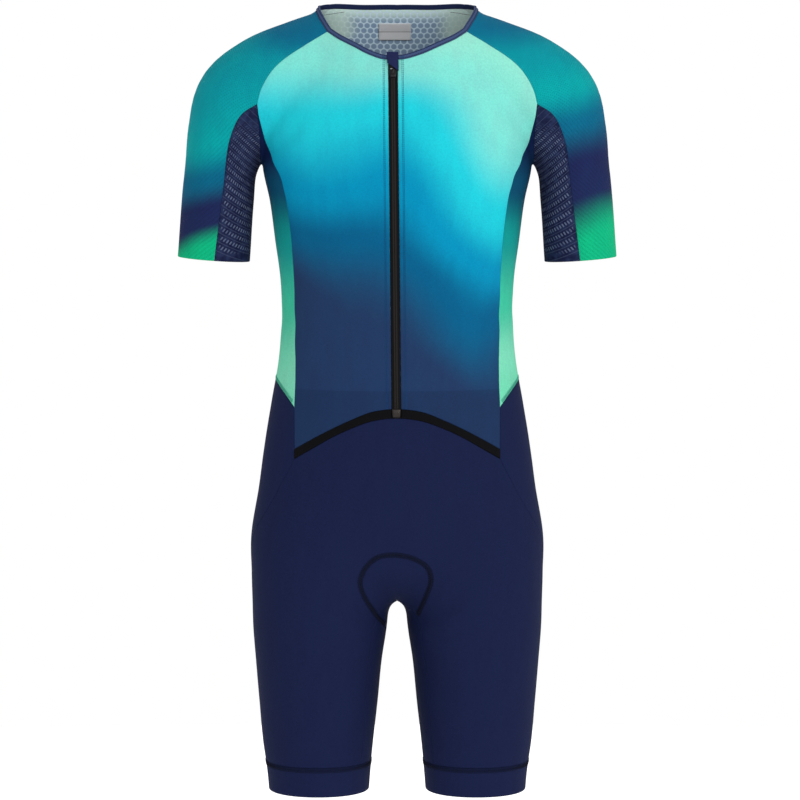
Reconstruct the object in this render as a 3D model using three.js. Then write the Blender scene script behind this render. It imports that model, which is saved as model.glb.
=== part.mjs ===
import * as THREE from 'three';

// A short-sleeved triathlon suit, filled out as if it were worn, built from its cut and sewn pieces.
// Millimetres, +Z up. The front faces -Y and the wearer's left side is +X.
// The origin is between the shoulders, where the wearer carries the suit.

const CLOTH = 1.2;
const SEAM_GAP = 0.3;
const BINDING_WIDTH = 5.8;
const ZIP_HALF = 5.4;
const COIL_HALF = 2.0;
const COIL_HEIGHT = 0.9;
const ZIP_TOP = -58.4;
const TAPE_TOP = -447.3;
const TAPE_WIDTH = 10.3;
const SLEEVE_HEM = -281;
const SLEEVE_HEM_FALL = 6 / 82;
const SLEEVE_OUTER = 249;
const SLEEVE_INNER = 167;
const MESH_HEM = 205.8;
const BAND_TOP = -858;
const LEG_HEM = -892;

// Colour and finish of each kind of cloth and fitting, as photographed.
const LOOKS = {
  navyKnit: { color: 0x232b4f, roughness: 0.82, metalness: 0 },
  frontPrint: { color: 0x1d7fa0, roughness: 0.8, metalness: 0 },
  backPrint: { color: 0x8fd8cc, roughness: 0.8, metalness: 0 },
  sleevePrint: { color: 0x12708a, roughness: 0.8, metalness: 0 },
  sidePrint: { color: 0x55c5ae, roughness: 0.8, metalness: 0 },
  mesh: { color: 0x2c3557, roughness: 0.9, metalness: 0 },
  binding: { color: 0x2f3768, roughness: 0.85, metalness: 0 },
  tape: { color: 0x121214, roughness: 0.75, metalness: 0 },
  zip: { color: 0x17181b, roughness: 0.55, metalness: 0 },
  slider: { color: 0x1b1c20, roughness: 0.35, metalness: 0.4 },
  stop: { color: 0x5c5d61, roughness: 0.35, metalness: 0.8 },
  label: { color: 0xc8ccd2, roughness: 0.7, metalness: 0 },
};

// How many mesh steps each stretch of seam takes. Pieces that share a seam share its steps.
const STEPS = {
  raglan: 6, side: 14, hipEdge: 2, hip: 7, leg: 8, mesh: 9, armhole: 4, shoulder: 5,
  front: 8, back: 5, inner: 4,
};

// Sections of the trunk: half width, depth to the front and to the back, and squareness.
const TRUNK = [
  { z: 60, half: 84, front: 58, back: 48, square: 2.1 },
  { z: 20, half: 85, front: 62, back: 50, square: 2.1 },
  { z: 0, half: 88, front: 67, back: 54, square: 2.1 },
  { z: -30, half: 101, front: 73, back: 70, square: 2.15 },
  { z: -60, half: 124, front: 83, back: 84, square: 2.2 },
  { z: -100, half: 146, front: 96, back: 96, square: 2.3 },
  { z: -140, half: 152, front: 106, back: 103, square: 2.35 },
  { z: -180, half: 150, front: 112, back: 106, square: 2.35 },
  { z: -217, half: 144.5, front: 113, back: 105, square: 2.3 },
  { z: -262, half: 138.5, front: 109, back: 100, square: 2.3 },
  { z: -308, half: 132.5, front: 102, back: 92, square: 2.25 },
  { z: -354, half: 131.3, front: 97, back: 86, square: 2.25 },
  { z: -399, half: 135, front: 95, back: 88, square: 2.25 },
  { z: -445, half: 143, front: 95, back: 98, square: 2.25 },
  { z: -491, half: 150.6, front: 96, back: 109, square: 2.25 },
  { z: -537, half: 156.5, front: 97, back: 117, square: 2.25 },
  { z: -583, half: 158, front: 96, back: 119, square: 2.25 },
  { z: -620, half: 152, front: 94, back: 114, square: 2.25 },
  { z: -660, half: 144, front: 88, back: 104, square: 2.25 },
  { z: -720, half: 132, front: 80, back: 94, square: 2.2 },
];

// Sections of one leg, about a centre line `centre` millimetres from the middle.
const LEG = [
  { z: -480, centre: 62, half: 50, front: 50, back: 60, square: 2.0 },
  { z: -540, centre: 76, half: 66, front: 74, back: 88, square: 2.1 },
  { z: -600, centre: 87, half: 78, front: 88, back: 104, square: 2.15 },
  { z: -640, centre: 88.4, half: 78, front: 91, back: 104, square: 2.2 },
  { z: -675, centre: 87.6, half: 78, front: 91, back: 101, square: 2.2 },
  { z: -700, centre: 88.2, half: 76.8, front: 89, back: 97, square: 2.2 },
  { z: -744, centre: 89.8, half: 72, front: 84, back: 90, square: 2.15 },
  { z: -791, centre: 90.2, half: 67.8, front: 78, back: 83, square: 2.1 },
  { z: -837, centre: 90.8, half: 63.2, front: 71, back: 75, square: 2.1 },
  { z: -872, centre: 90, half: 59, front: 66, back: 68, square: 2.1 },
  { z: -920, centre: 90, half: 55.5, front: 62, back: 64, square: 2.1 },
];

// The shoulder and arm: a centre line in the front view, with the radius seen there and the half depth.
const ARM = [
  { x: 48, z: -58, radius: 63, depth: 62 },
  { x: 104, z: -75, radius: 62, depth: 66 },
  { x: 146, z: -91, radius: 60.5, depth: 65 },
  { x: 172, z: -107, radius: 56.5, depth: 61.5 },
  { x: 188, z: -138, radius: 48.5, depth: 55 },
  { x: 198, z: -178, radius: 42, depth: 50 },
  { x: 203, z: -217, radius: 41.2, depth: 48 },
  { x: 208, z: -280, radius: 41, depth: 46.5 },
  { x: 212, z: -330, radius: 41, depth: 46 },
];

const ARM_BLEND = 10;
const LEG_BLEND = 22;
const LEG_TOP = -500;
const SEAT_BLEND = 70;
const SEAT_LEVEL = -671;
const ARM_PIECES = 56;

// Turns a table into a smooth function of its first column.
function smoothTable(rows, key) {
  const names = Object.keys(rows[0]).filter((name) => name !== key);
  const sorted = rows.slice().sort((a, b) => a[key] - b[key]);
  const keys = sorted.map((row) => row[key]);
  const values = sorted.map((row) => names.map((name) => row[name]));
  const last = keys.length - 1;
  const rise = (i, c) => (values[i + 1][c] - values[i][c]) / (keys[i + 1] - keys[i]);
  const slopes = values.map((row, i) => row.map((_, c) => {
    if (i === 0) return rise(0, c);
    if (i === last) return rise(last - 1, c);
    const before = keys[i] - keys[i - 1];
    const after = keys[i + 1] - keys[i];
    return (rise(i - 1, c) * after + rise(i, c) * before) / (before + after);
  }));
  return (at) => {
    const q = Math.min(Math.max(at, keys[0]), keys[last]);
    let i = 0;
    while (i < last - 1 && q >= keys[i + 1]) i += 1;
    const h = keys[i + 1] - keys[i];
    const s = (q - keys[i]) / h;
    const s2 = s * s;
    const s3 = s2 * s;
    const out = {};
    names.forEach((name, c) => {
      out[name] = (2 * s3 - 3 * s2 + 1) * values[i][c] + (s3 - 2 * s2 + s) * h * slopes[i][c]
        + (3 * s2 - 2 * s3) * values[i + 1][c] + (s3 - s2) * h * slopes[i + 1][c];
    });
    return out;
  };
}

const trunkAt = smoothTable(TRUNK, 'z');
const legAt = smoothTable(LEG, 'z');

// The arm's centre line cut into short tapered pieces of equal length.
function armPieces() {
  let run = 0;
  const rows = ARM.map((row, i) => {
    if (i > 0) run += Math.hypot(row.x - ARM[i - 1].x, row.z - ARM[i - 1].z);
    return { along: run, ...row };
  });
  const at = smoothTable(rows, 'along');
  const stations = [];
  for (let i = 0; i < ARM_PIECES; i += 1) stations.push(at((run * i) / (ARM_PIECES - 1)));
  return stations;
}

const armStations = armPieces();

function smoothMin(a, b, k) {
  const h = Math.max(k - Math.abs(a - b), 0) / k;
  return Math.min(a, b) - (h * h * k) / 4;
}

function ovalGap(x, y, half, deep, square) {
  const rho = Math.max(Math.hypot(x, y), 1e-6);
  const reach = ((Math.abs(x) / rho / half) ** square + (Math.abs(y) / rho / deep) ** square)
    ** (-1 / square);
  return rho - reach;
}

function armGap(x, y, z) {
  let best = 1e9;
  for (let i = 0; i < armStations.length - 1; i += 1) {
    const a = armStations[i];
    const b = armStations[i + 1];
    const dx = b.x - a.x;
    const dz = b.z - a.z;
    const h = Math.min(Math.max(((x - a.x) * dx + (z - a.z) * dz) / (dx * dx + dz * dz), 0), 1);
    const radius = a.radius + (b.radius - a.radius) * h;
    const depth = a.depth + (b.depth - a.depth) * h;
    const gap = Math.hypot(x - a.x - dx * h, z - a.z - dz * h, (y * radius) / depth) - radius;
    if (gap < best) best = gap;
  }
  return best;
}

// The filled-out shape the cloth lies on: negative inside, about the distance in millimetres outside.
function form(p) {
  const x = Math.abs(p[0]);
  const y = p[1];
  const z = p[2];
  const t = trunkAt(z);
  let gap = ovalGap(x, y, t.half, y < 0 ? t.front : t.back, t.square);
  gap = -smoothMin(-gap, z - SEAT_LEVEL, SEAT_BLEND);
  const l = legAt(z);
  const leg = ovalGap(x - l.centre, y, l.half, y < 0 ? l.front : l.back, l.square);
  gap = smoothMin(gap, Math.max(leg, z - LEG_TOP), LEG_BLEND);
  return smoothMin(gap, armGap(x, y, z), ARM_BLEND);
}

const add = (a, b, k = 1) => [a[0] + b[0] * k, a[1] + b[1] * k, a[2] + b[2] * k];
const sub = (a, b) => add(a, b, -1);
const dot = (a, b) => a[0] * b[0] + a[1] * b[1] + a[2] * b[2];
const cross = (a, b) => [a[1] * b[2] - a[2] * b[1], a[2] * b[0] - a[0] * b[2], a[0] * b[1] - a[1] * b[0]];
const size = (a) => Math.hypot(a[0], a[1], a[2]);
const unit = (a) => add([0, 0, 0], a, 1 / (size(a) || 1));
const mix = (a, b, t) => add(add([0, 0, 0], a, 1 - t), b, t);

function slope(p) {
  const e = 0.8;
  return [
    (form([p[0] + e, p[1], p[2]]) - form([p[0] - e, p[1], p[2]])) / (2 * e),
    (form([p[0], p[1] + e, p[2]]) - form([p[0], p[1] - e, p[2]])) / (2 * e),
    (form([p[0], p[1], p[2] + e]) - form([p[0], p[1], p[2] - e])) / (2 * e),
  ];
}

const outward = (p) => unit(slope(p));

// Brings a nearby point onto the form, level keeps its height as it is.
function settle(p, level = false) {
  let q = p;
  for (let i = 0; i < 12; i += 1) {
    const gap = form(q);
    if (Math.abs(gap) < 1e-4) break;
    const g = slope(q);
    if (level) g[2] = 0;
    q = add(q, g, -gap / Math.max(dot(g, g), 0.04));
  }
  return q;
}

const settleLevel = (p) => settle(p, true);

// Where a point given in the front view lies on the form, seen from the front or the back.
const FRONT = -1;
const BACK = 1;
function drop(x, z, side) {
  let y = side * 190;
  let best = [1e9, y];
  while (y * side > 0.5) {
    const gap = form([x, y, z]);
    if (gap < best[0]) best = [gap, y];
    if (gap < 0.02) return settle([x, y, z]);
    y -= side * Math.max(gap * 0.5, 0.25);
  }
  return settle([x, best[1], z]);
}

// A smooth line through control points, in as many dimensions as they have.
function spline(points, steps = 12) {
  const out = [];
  const n = points.length - 1;
  for (let i = 0; i < n; i += 1) {
    const p0 = points[Math.max(i - 1, 0)];
    const p1 = points[i];
    const p2 = points[i + 1];
    const p3 = points[Math.min(i + 2, n)];
    const chord = (a, b) => Math.sqrt(Math.hypot(...a.map((v, c) => v - b[c]))) || 1e-3;
    const t01 = chord(p0, p1);
    const t12 = chord(p1, p2);
    const t23 = chord(p2, p3);
    const m1 = p1.map((v, c) => (p2[c] - v) + t12 * ((v - p0[c]) / t01 - (p2[c] - p0[c]) / (t01 + t12)));
    const m2 = p2.map((v, c) => (v - p1[c]) + t12 * ((p3[c] - v) / t23 - (p3[c] - p1[c]) / (t12 + t23)));
    for (let k = 0; k < steps; k += 1) {
      const s = k / steps;
      const s2 = s * s;
      const s3 = s2 * s;
      out.push(p1.map((v, c) => (2 * s3 - 3 * s2 + 1) * v + (s3 - 2 * s2 + s) * (i === 0 ? p2[c] - v : m1[c])
        + (3 * s2 - 2 * s3) * p2[c] + (s3 - s2) * (i === n - 1 ? p2[c] - v : m2[c])));
    }
  }
  out.push(points[n].slice());
  return out;
}

// Cuts a line into equal steps along its length.
function even(line, steps, place = (p) => settle(p)) {
  const run = [0];
  for (let i = 1; i < line.length; i += 1) run.push(run[i - 1] + size(sub(line[i], line[i - 1])));
  const total = run[run.length - 1];
  const out = [];
  let i = 0;
  for (let k = 0; k <= steps; k += 1) {
    const at = (total * k) / steps;
    while (i < line.length - 2 && run[i + 1] < at) i += 1;
    out.push(mix(line[i], line[i + 1], (at - run[i]) / Math.max(run[i + 1] - run[i], 1e-9)));
  }
  return out.map((p, k) => {
    if (k === 0) return line[0];
    if (k === steps) return line[line.length - 1];
    return place(p);
  });
}

// Table rows give x, y and z by name; points already on the form pass through.
const toPoint = (p) => (Array.isArray(p) ? p : [p.x, p.y, p.z]);
const toView = (p) => (Array.isArray(p) ? [p[0], p[2]] : [p.x, p.z]);

// A seam drawn as it shows from the front or the back, and a seam drawn by points in space.
const seen = (points, steps, side = FRONT) => even(
  spline(points.map(toView)).map(([x, z]) => drop(x, z, side)),
  steps,
);
const along = (points, steps) => even(spline(points.map(toPoint)).map((p) => settle(p)), steps);
const join = (...lines) => lines.flatMap((line, i) => (i === 0 ? line : line.slice(1)));
const turned = (line) => line.slice().reverse();
const last = (line) => line[line.length - 1];

// Fills the space between four lines: top and bottom run across, left and right run down.
function fill(top, bottom, left, right) {
  const nu = top.length - 1;
  const nv = left.length - 1;
  const grid = [];
  for (let j = 0; j <= nv; j += 1) {
    const v = j / nv;
    const row = [];
    for (let i = 0; i <= nu; i += 1) {
      const u = i / nu;
      if (j === 0) row.push(top[i]);
      else if (j === nv) row.push(bottom[i]);
      else if (i === 0) row.push(left[j]);
      else if (i === nu) row.push(right[j]);
      else {
        const ruled = add(mix(top[i], bottom[i], v), mix(left[j], right[j], u));
        const corners = mix(mix(top[0], top[nu], u), mix(bottom[0], bottom[nu], u), v);
        row.push(settle(sub(ruled, corners)));
      }
    }
    grid.push(row);
  }
  return grid;
}

const mirrored = (grid) => grid.map((row) => row.map(([x, y, z]) => [-x, y, z]));

// Sews grids of points that share edges into one skin, facing outward.
function weld(grids) {
  const points = [];
  const tris = [];
  const known = new Map();
  const indexOf = (p) => {
    const key = p.map((v) => Math.round(v * 500)).join(',');
    if (!known.has(key)) {
      known.set(key, points.length);
      points.push(p);
    }
    return known.get(key);
  };
  for (const grid of grids) {
    const ids = grid.map((row) => row.map(indexOf));
    for (let j = 0; j < ids.length - 1; j += 1) {
      for (let i = 0; i < ids[j].length - 1; i += 1) {
        const [a, b, c, d] = [ids[j][i], ids[j][i + 1], ids[j + 1][i + 1], ids[j + 1][i]];
        const quads = size(sub(points[a], points[c])) < size(sub(points[b], points[d]))
          ? [[a, b, c], [a, c, d]] : [[a, b, d], [b, c, d]];
        for (const t of quads) {
          if (t[0] === t[1] || t[1] === t[2] || t[0] === t[2]) continue;
          const n = cross(sub(points[t[1]], points[t[0]]), sub(points[t[2]], points[t[0]]));
          const middle = mix(mix(points[t[0]], points[t[1]], 0.5), points[t[2]], 1 / 3);
          tris.push(dot(n, slope(middle)) < 0 ? [t[0], t[2], t[1]] : t);
        }
      }
    }
  }
  return { points, tris };
}

// Edges with cloth on one side only, each with the third corner of its triangle.
function openEdges(tris) {
  const edges = new Map();
  for (const t of tris) {
    for (let k = 0; k < 3; k += 1) {
      const a = t[k];
      const b = t[(k + 1) % 3];
      if (edges.has(`${b},${a}`)) edges.delete(`${b},${a}`);
      else edges.set(`${a},${b}`, [a, b, t[(k + 2) % 3]]);
    }
  }
  return [...edges.values()];
}

// Draws the open edges of a skin in by half the seam gap.
function trim(skin, inset) {
  const pulls = new Map();
  for (const [a, b, c] of openEdges(skin.tris)) {
    const run = unit(sub(skin.points[b], skin.points[a]));
    const over = sub(skin.points[c], skin.points[a]);
    const inward = unit(add(over, run, -dot(over, run)));
    for (const id of [a, b]) pulls.set(id, [...(pulls.get(id) ?? []), inward]);
  }
  const points = skin.points.map((p, id) => {
    const sides = pulls.get(id);
    if (!sides) return p;
    const both = sides.reduce((sum, side) => add(sum, side), [0, 0, 0]);
    const spread = sides.length === 2 ? Math.max(1 + dot(sides[0], sides[1]), 0.06) : 2;
    return settle(add(p, both, inset / spread));
  });
  return { points, tris: skin.tris };
}

// Gives a skin its thickness. `lift` raises the outer side off the form, `wall` is the cloth.
function thicken(name, look, grids, options = {}) {
  const { wall = CLOTH, lift = 0, inset = SEAM_GAP / 2, flip = false } = options;
  const skin = trim(weld(grids), inset);
  const liftOf = typeof lift === 'function' ? lift : () => lift;
  const wallOf = typeof wall === 'function' ? wall : () => wall;
  const normals = skin.points.map(outward);
  const outer = skin.points.map((p, i) => add(p, normals[i], liftOf(p)));
  const inner = skin.points.map((p, i) => add(p, normals[i], liftOf(p) - wallOf(p)));
  const count = outer.length;
  const tris = [];
  for (const [a, b, c] of skin.tris) tris.push([a, b, c], [a + count, c + count, b + count]);
  // Both pieces at a seam split their edge faces the same way, so twisted ones don't cross.
  const rank = (p) => p[2] + 0.37 * p[0] + 0.11 * p[1];
  for (const [a, b] of openEdges(skin.tris)) {
    if (rank(skin.points[a]) > rank(skin.points[b])) tris.push([b, a, a + count], [b, a + count, b + count]);
    else tris.push([b, a, b + count], [a, a + count, b + count]);
  }
  const geometry = new THREE.BufferGeometry();
  const flat = [...outer, ...inner].flatMap(([x, y, z]) => [flip ? -x : x, y, z]);
  geometry.setAttribute('position', new THREE.Float32BufferAttribute(flat, 3));
  geometry.setIndex(tris.flatMap(([a, b, c]) => (flip ? [a, c, b] : [a, b, c])));
  const mesh = new THREE.Mesh(geometry, new THREE.MeshStandardMaterial(LOOKS[look]));
  mesh.name = name;
  return mesh;
}

// Points where seams meet, on the wearer's left side.
const MEETINGS = {
  peak: { x: 156.3, z: -107.8 },
  armpit: { x: 154.5, y: 0, z: -181 },
  neckTop: { x: 91, y: 0, z: -2.2 },
  neckFrontSide: { x: 78.2, z: -27.4 },
  neckBackSide: { x: 76, y: 27, z: -2 },
  sideFoot: { x: 137.5, y: 0, z: -420 },
  stripFront: { x: 115.8, z: -447.5 },
  stripBack: { x: 114, z: -436 },
  tapeTopEnd: { x: 115.4, z: -494.3 },
  tapeFootEnd: { x: 115.6, z: -505.4 },
  crotchFront: { x: 0, y: -38, z: -673 },
  crotchBack: { x: 0, y: 45, z: -672 },
  outerSeamTop: { x: 166, y: 10, z: -662 },
};
const spot = (name) => settle(toPoint(MEETINGS[name]));
const spotSeen = (name, side = FRONT) => drop(MEETINGS[name].x, MEETINGS[name].z, side);

const peakFront = spotSeen('peak');
const peakBack = spotSeen('peak', BACK);
const armpit = spot('armpit');
const neckTop = spot('neckTop');
const neckFrontSide = spotSeen('neckFrontSide');
const neckBackSide = spot('neckBackSide');
const sideFoot = spot('sideFoot');
const stripFront = spotSeen('stripFront');
const stripBack = spotSeen('stripBack', BACK);
const tapeTopEnd = spotSeen('tapeTopEnd');
const tapeFootEnd = spotSeen('tapeFootEnd');
const crotchFront = spot('crotchFront');
const crotchBack = spot('crotchBack');
const outerSeamTop = spot('outerSeamTop');

// Front body seams.
const zipHead = drop(ZIP_HALF, ZIP_TOP, FRONT);
const zipFoot = drop(ZIP_HALF, TAPE_TOP, FRONT);
const zipEdge = seen([zipHead, zipFoot], STEPS.raglan + STEPS.side + STEPS.hipEdge);
const neckFront = seen([
  zipHead, { x: 12.9, z: -57.8 }, { x: 30.8, z: -52 }, { x: 46.4, z: -44.6 }, { x: 66, z: -35.2 },
  neckFrontSide,
], STEPS.front);
const raglanFront = seen([
  neckFrontSide, { x: 103, z: -42.3 }, { x: 123.9, z: -56 }, { x: 136.1, z: -66.7 }, { x: 145.7, z: -79.4 },
  { x: 152.9, z: -94.3 }, peakFront,
], STEPS.raglan);
const sideFront = seen([
  peakFront, { x: 155, z: -120.2 }, { x: 152.3, z: -132.5 }, { x: 148.2, z: -149.5 }, { x: 141, z: -167.2 },
  { x: 132.6, z: -185.9 }, { x: 126.3, z: -204.7 }, { x: 122.6, z: -226 }, { x: 118.7, z: -259.6 },
  { x: 115.7, z: -312.8 }, { x: 115.2, z: -356.9 }, { x: 114.6, z: -410.6 }, stripFront,
], STEPS.side);
const hipEdge = seen([stripFront, tapeTopEnd], STEPS.hipEdge);
const tapeCurve = (fall, start, end) => seen([
  start, { x: 10.7, z: TAPE_TOP - 0.3 - fall }, { x: 29.7, z: TAPE_TOP - 3.6 - fall },
  { x: 51, z: TAPE_TOP - 12.2 - fall * 0.93 }, { x: 72.6, z: TAPE_TOP - 22.5 - fall * 0.93 },
  { x: 94.2, z: TAPE_TOP - 34.3 - fall * 1.04 }, end,
], STEPS.front);
const tapeTop = tapeCurve(0, zipFoot, tapeTopEnd);
const tapeFoot = tapeCurve(TAPE_WIDTH, drop(ZIP_HALF, TAPE_TOP - TAPE_WIDTH, FRONT), tapeFootEnd);

// Armhole, sleeve and underarm seams. The sleeve hem falls a little towards the body.
const hemPoint = (x) => ({ x, z: SLEEVE_HEM - (SLEEVE_OUTER - x) * SLEEVE_HEM_FALL });
const armholeLine = (peak, side) => {
  const line = spline([peak, { x: 154.4, z: -140 }, armpit].map(toView), 30);
  return even([...line.slice(0, -1).map(([x, z]) => drop(x, z, side)), armpit], STEPS.armhole);
};
const armholeFront = armholeLine(peakFront, FRONT);
const armholeBack = armholeLine(peakBack, BACK);
const meshFront = seen([
  peakFront, { x: 174.4, z: -120.1 }, { x: 187.6, z: -148.1 }, { x: 195.3, z: -204.2 }, hemPoint(MESH_HEM),
], STEPS.mesh);
const meshBack = seen([
  peakBack, { x: 174.4, z: -122 }, { x: 187, z: -150 }, { x: 195.3, z: -204.2 }, hemPoint(MESH_HEM),
], STEPS.mesh, BACK);
const armOuter = along([
  neckTop, { x: 132, y: 0, z: -19.5 }, { x: 175, y: 0, z: -36 }, { x: 203, y: 0, z: -53 },
  { x: 221, y: 0, z: -81 }, { x: 232, y: 0, z: -127 }, { x: 241, y: 0, z: -194 },
  { y: 0, ...hemPoint(SLEEVE_OUTER) },
], STEPS.raglan + STEPS.mesh);
const armInner = along([
  armpit, { x: 160, y: 0, z: -205 }, { x: 163, y: 0, z: -240 }, { y: 0, ...hemPoint(SLEEVE_INNER) },
], STEPS.mesh);
const hemArc = (a, b, steps) => {
  const axis = (SLEEVE_OUTER + SLEEVE_INNER) / 2;
  const away = unit([(a[0] + b[0]) / 2 - axis, (a[1] + b[1]) / 2, 0]);
  const reach = (SLEEVE_OUTER - SLEEVE_INNER) / 2;
  return along([a, { y: away[1] * reach, ...hemPoint(axis + away[0] * reach) }, b], steps);
};
const hemFrontOut = hemArc(last(meshFront), last(armOuter), STEPS.shoulder);
const hemBackOut = hemArc(last(meshBack), last(armOuter), STEPS.shoulder);
const hemFrontIn = hemArc(last(meshFront), last(armInner), STEPS.armhole);
const hemBackIn = hemArc(last(meshBack), last(armInner), STEPS.armhole);
const neckSleeveFront = along([neckFrontSide, { x: 87, y: -30, z: -13.5 }, neckTop], STEPS.shoulder);
const neckSleeveBack = along([neckBackSide, { x: 88, y: 13, z: -2 }, neckTop], STEPS.shoulder);

// Back seams.
const raglanBack = [neckBackSide, ...seen([
  neckBackSide, { x: 100, z: -20 }, { x: 122, z: -44 }, { x: 141, z: -72 }, peakBack,
], STEPS.raglan, BACK).slice(1)];
const neckBack = along([neckBackSide, { x: 40, y: 48, z: -2 }, { x: 0, y: 54, z: -1.6 }], STEPS.back);
const sideBack = seen([
  peakBack, { x: 155, z: -121 }, { x: 151.5, z: -133 }, { x: 147, z: -149.5 }, { x: 139, z: -168 },
  { x: 130, z: -190 }, { x: 121, z: -240 }, { x: 114, z: -300 }, { x: 111.5, z: -350 }, { x: 112, z: -400 },
  stripBack,
], STEPS.side, BACK);
const waistBack = seen([stripBack, { x: 60, z: -440 }, { x: 0, z: -441 }], STEPS.back, BACK);
const spine = along([
  last(neckBack), { x: 0, y: 96, z: -100 }, { x: 0, y: 106, z: -180 }, { x: 0, y: 92, z: -308 },
  { x: 0, y: 88, z: -399 }, last(waistBack),
], STEPS.raglan + STEPS.side);

// Side panel seams.
const sideLine = along([
  armpit, { x: 147, y: 0, z: -205 }, { x: 138.5, y: 0, z: -262 }, { x: 132.5, y: 0, z: -308 },
  { x: 131.5, y: 0, z: -354 }, { x: 135, y: 0, z: -399 }, sideFoot,
], STEPS.side);
const stripFootFront = [
  ...seen([stripFront, { x: 126.3, z: -434 }, sideFoot], STEPS.armhole).slice(0, -1), sideFoot,
];
const stripFootBack = along([stripBack, { x: 128, y: 50, z: -427 }, sideFoot], STEPS.armhole);

// Shorts seams, with the inner lines that the two legs' cloth turns about.
const bandPoint = (x, y) => settleLevel([x, y, BAND_TOP]);
const hipSteps = STEPS.hipEdge + 1 + STEPS.hip;
const outerSeamFoot = bandPoint(149, 9);
const innerFrontFoot = bandPoint(41, -42);
const innerBackFoot = bandPoint(45, 46);
const sideLegFoot = bandPoint(131, 40);
const seatLegFoot = bandPoint(108, 64);
const outerLeg = along([outerSeamTop, { x: 160, y: 11, z: -760 }, outerSeamFoot], STEPS.leg);
const hipSeam = along([
  tapeFootEnd, drop(129.5, -533.3, FRONT), drop(146.8, -565.1, FRONT), drop(161.5, -593.2, FRONT),
  { x: 165.5, y: -10, z: -622 }, outerSeamTop,
], STEPS.hip);
const bellyLine = along([
  drop(0, TAPE_TOP - TAPE_WIDTH, FRONT), drop(0, -560, FRONT), drop(0, -625, FRONT), drop(0, -655, FRONT),
  crotchFront,
], STEPS.hip);
const waistFront = join([bellyLine[0], tapeFoot[0]], tapeFoot);
const rowFront = along([
  crotchFront, { x: 24, y: -62, z: -672 }, { x: 50, y: -86, z: -670 }, { x: 88, y: -92, z: -668 },
  { x: 130, y: -75, z: -666 }, { x: 158, y: -30, z: -664 }, outerSeamTop,
], STEPS.front + 1);
const innerFront = along([
  crotchFront, { x: 14, y: -50, z: -684 }, { x: 25.5, y: -57.6, z: -697 }, { x: 29.5, y: -55.4, z: -724 },
  { x: 35.2, y: -49.6, z: -782 }, innerFrontFoot,
], STEPS.leg);
const innerBack = along([
  crotchBack, { x: 10, y: 53, z: -680 }, { x: 26, y: 60, z: -708 }, { x: 37, y: 56, z: -782 }, innerBackFoot,
], STEPS.leg);
const crotchLine = along([crotchFront, { x: 0, y: 0, z: -674 }, crotchBack], STEPS.inner);
const sideLower = along([
  sideFoot, { x: 143, y: 1, z: -445 }, { x: 152, y: 6, z: -500 }, { x: 163, y: 18, z: -590 },
  { x: 160, y: 42, z: -664 },
], hipSteps);
const seatLine = along([
  stripBack, { x: 120, y: 82, z: -500 }, { x: 128, y: 92, z: -590 }, { x: 122, y: 86, z: -664 },
], hipSteps);
const tail = along([
  last(waistBack), { x: 0, y: 112, z: -500 }, { x: 0, y: 119, z: -590 }, { x: 0, y: 108, z: -632 },
  { x: 0, y: 84, z: -660 }, crotchBack,
], hipSteps);
const sideLeg = along([last(sideLower), { x: 146, y: 44, z: -760 }, sideLegFoot], STEPS.leg);
const seatLeg = along([last(seatLine), { x: 118, y: 76, z: -760 }, seatLegFoot], STEPS.leg);
const rowSide = along([outerSeamTop, { x: 166, y: 26, z: -663 }, last(sideLower)], STEPS.armhole);
const rowSeatSide = along([last(sideLower), { x: 144, y: 68, z: -665 }, last(seatLine)], STEPS.armhole);
const rowSeat = along([
  last(seatLine), { x: 84, y: 103, z: -655 }, { x: 42, y: 96, z: -654 }, { x: 14, y: 67, z: -666 }, crotchBack,
], STEPS.back);

// The leg's last ring above the hem band.
const bandArc = (points, steps) => even(spline(points.map(toPoint)).map(settleLevel), steps, settleLevel);
const ringPoint = (x, y) => ({ x, y, z: BAND_TOP });
const bandFront = bandArc([
  innerFrontFoot, ringPoint(62, -61), ringPoint(90, -68), ringPoint(120, -58), ringPoint(143, -28),
  outerSeamFoot,
], STEPS.front + 1);
const bandInner = bandArc([innerFrontFoot, ringPoint(30, 0), innerBackFoot], STEPS.inner);
const bandSide = bandArc([outerSeamFoot, ringPoint(143, 27), sideLegFoot], STEPS.armhole);
const bandSeatSide = bandArc([sideLegFoot, ringPoint(121, 54), seatLegFoot], STEPS.armhole);
const bandSeat = bandArc([seatLegFoot, ringPoint(90, 70), ringPoint(68, 64), innerBackFoot], STEPS.back);

// Cloth grids of the wearer's left side.
const frontGrid = fill(neckFront, tapeTop, zipEdge, join(raglanFront, sideFront, hipEdge));
const backGrid = fill(neckBack, waistBack, join(raglanBack, sideBack), spine);
const sleeveFrontGrid = fill(neckSleeveFront, hemFrontOut, join(raglanFront, meshFront), armOuter);
const sleeveBackGrid = fill(neckSleeveBack, hemBackOut, join(raglanBack, meshBack), armOuter);
const meshFrontGrid = fill(armholeFront, hemFrontIn, meshFront, armInner);
const meshBackGrid = fill(armholeBack, hemBackIn, meshBack, armInner);
const sideFrontGrid = fill(armholeFront, stripFootFront, sideFront, sideLine);
const sideBackGrid = fill(armholeBack, stripFootBack, sideBack, sideLine);
const bellyGrid = fill(waistFront, rowFront, bellyLine, hipSeam);
const thighGrid = fill(rowFront, bandFront, innerFront, outerLeg);
const hipFront = join(hipEdge, [tapeTopEnd, tapeFootEnd], hipSeam);
const hipSideGrid = fill(stripFootFront, rowSide, hipFront, sideLower);
const hipBackGrid = fill(turned(stripFootBack), rowSeatSide, sideLower, seatLine);
const seatGrid = fill(waistBack, rowSeat, seatLine, tail);
const legSideGrid = fill(rowSide, bandSide, outerLeg, sideLeg);
const legBackGrid = fill(rowSeatSide, bandSeatSide, sideLeg, seatLeg);
const legSeatGrid = fill(rowSeat, bandSeat, seatLeg, innerBack);
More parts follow.
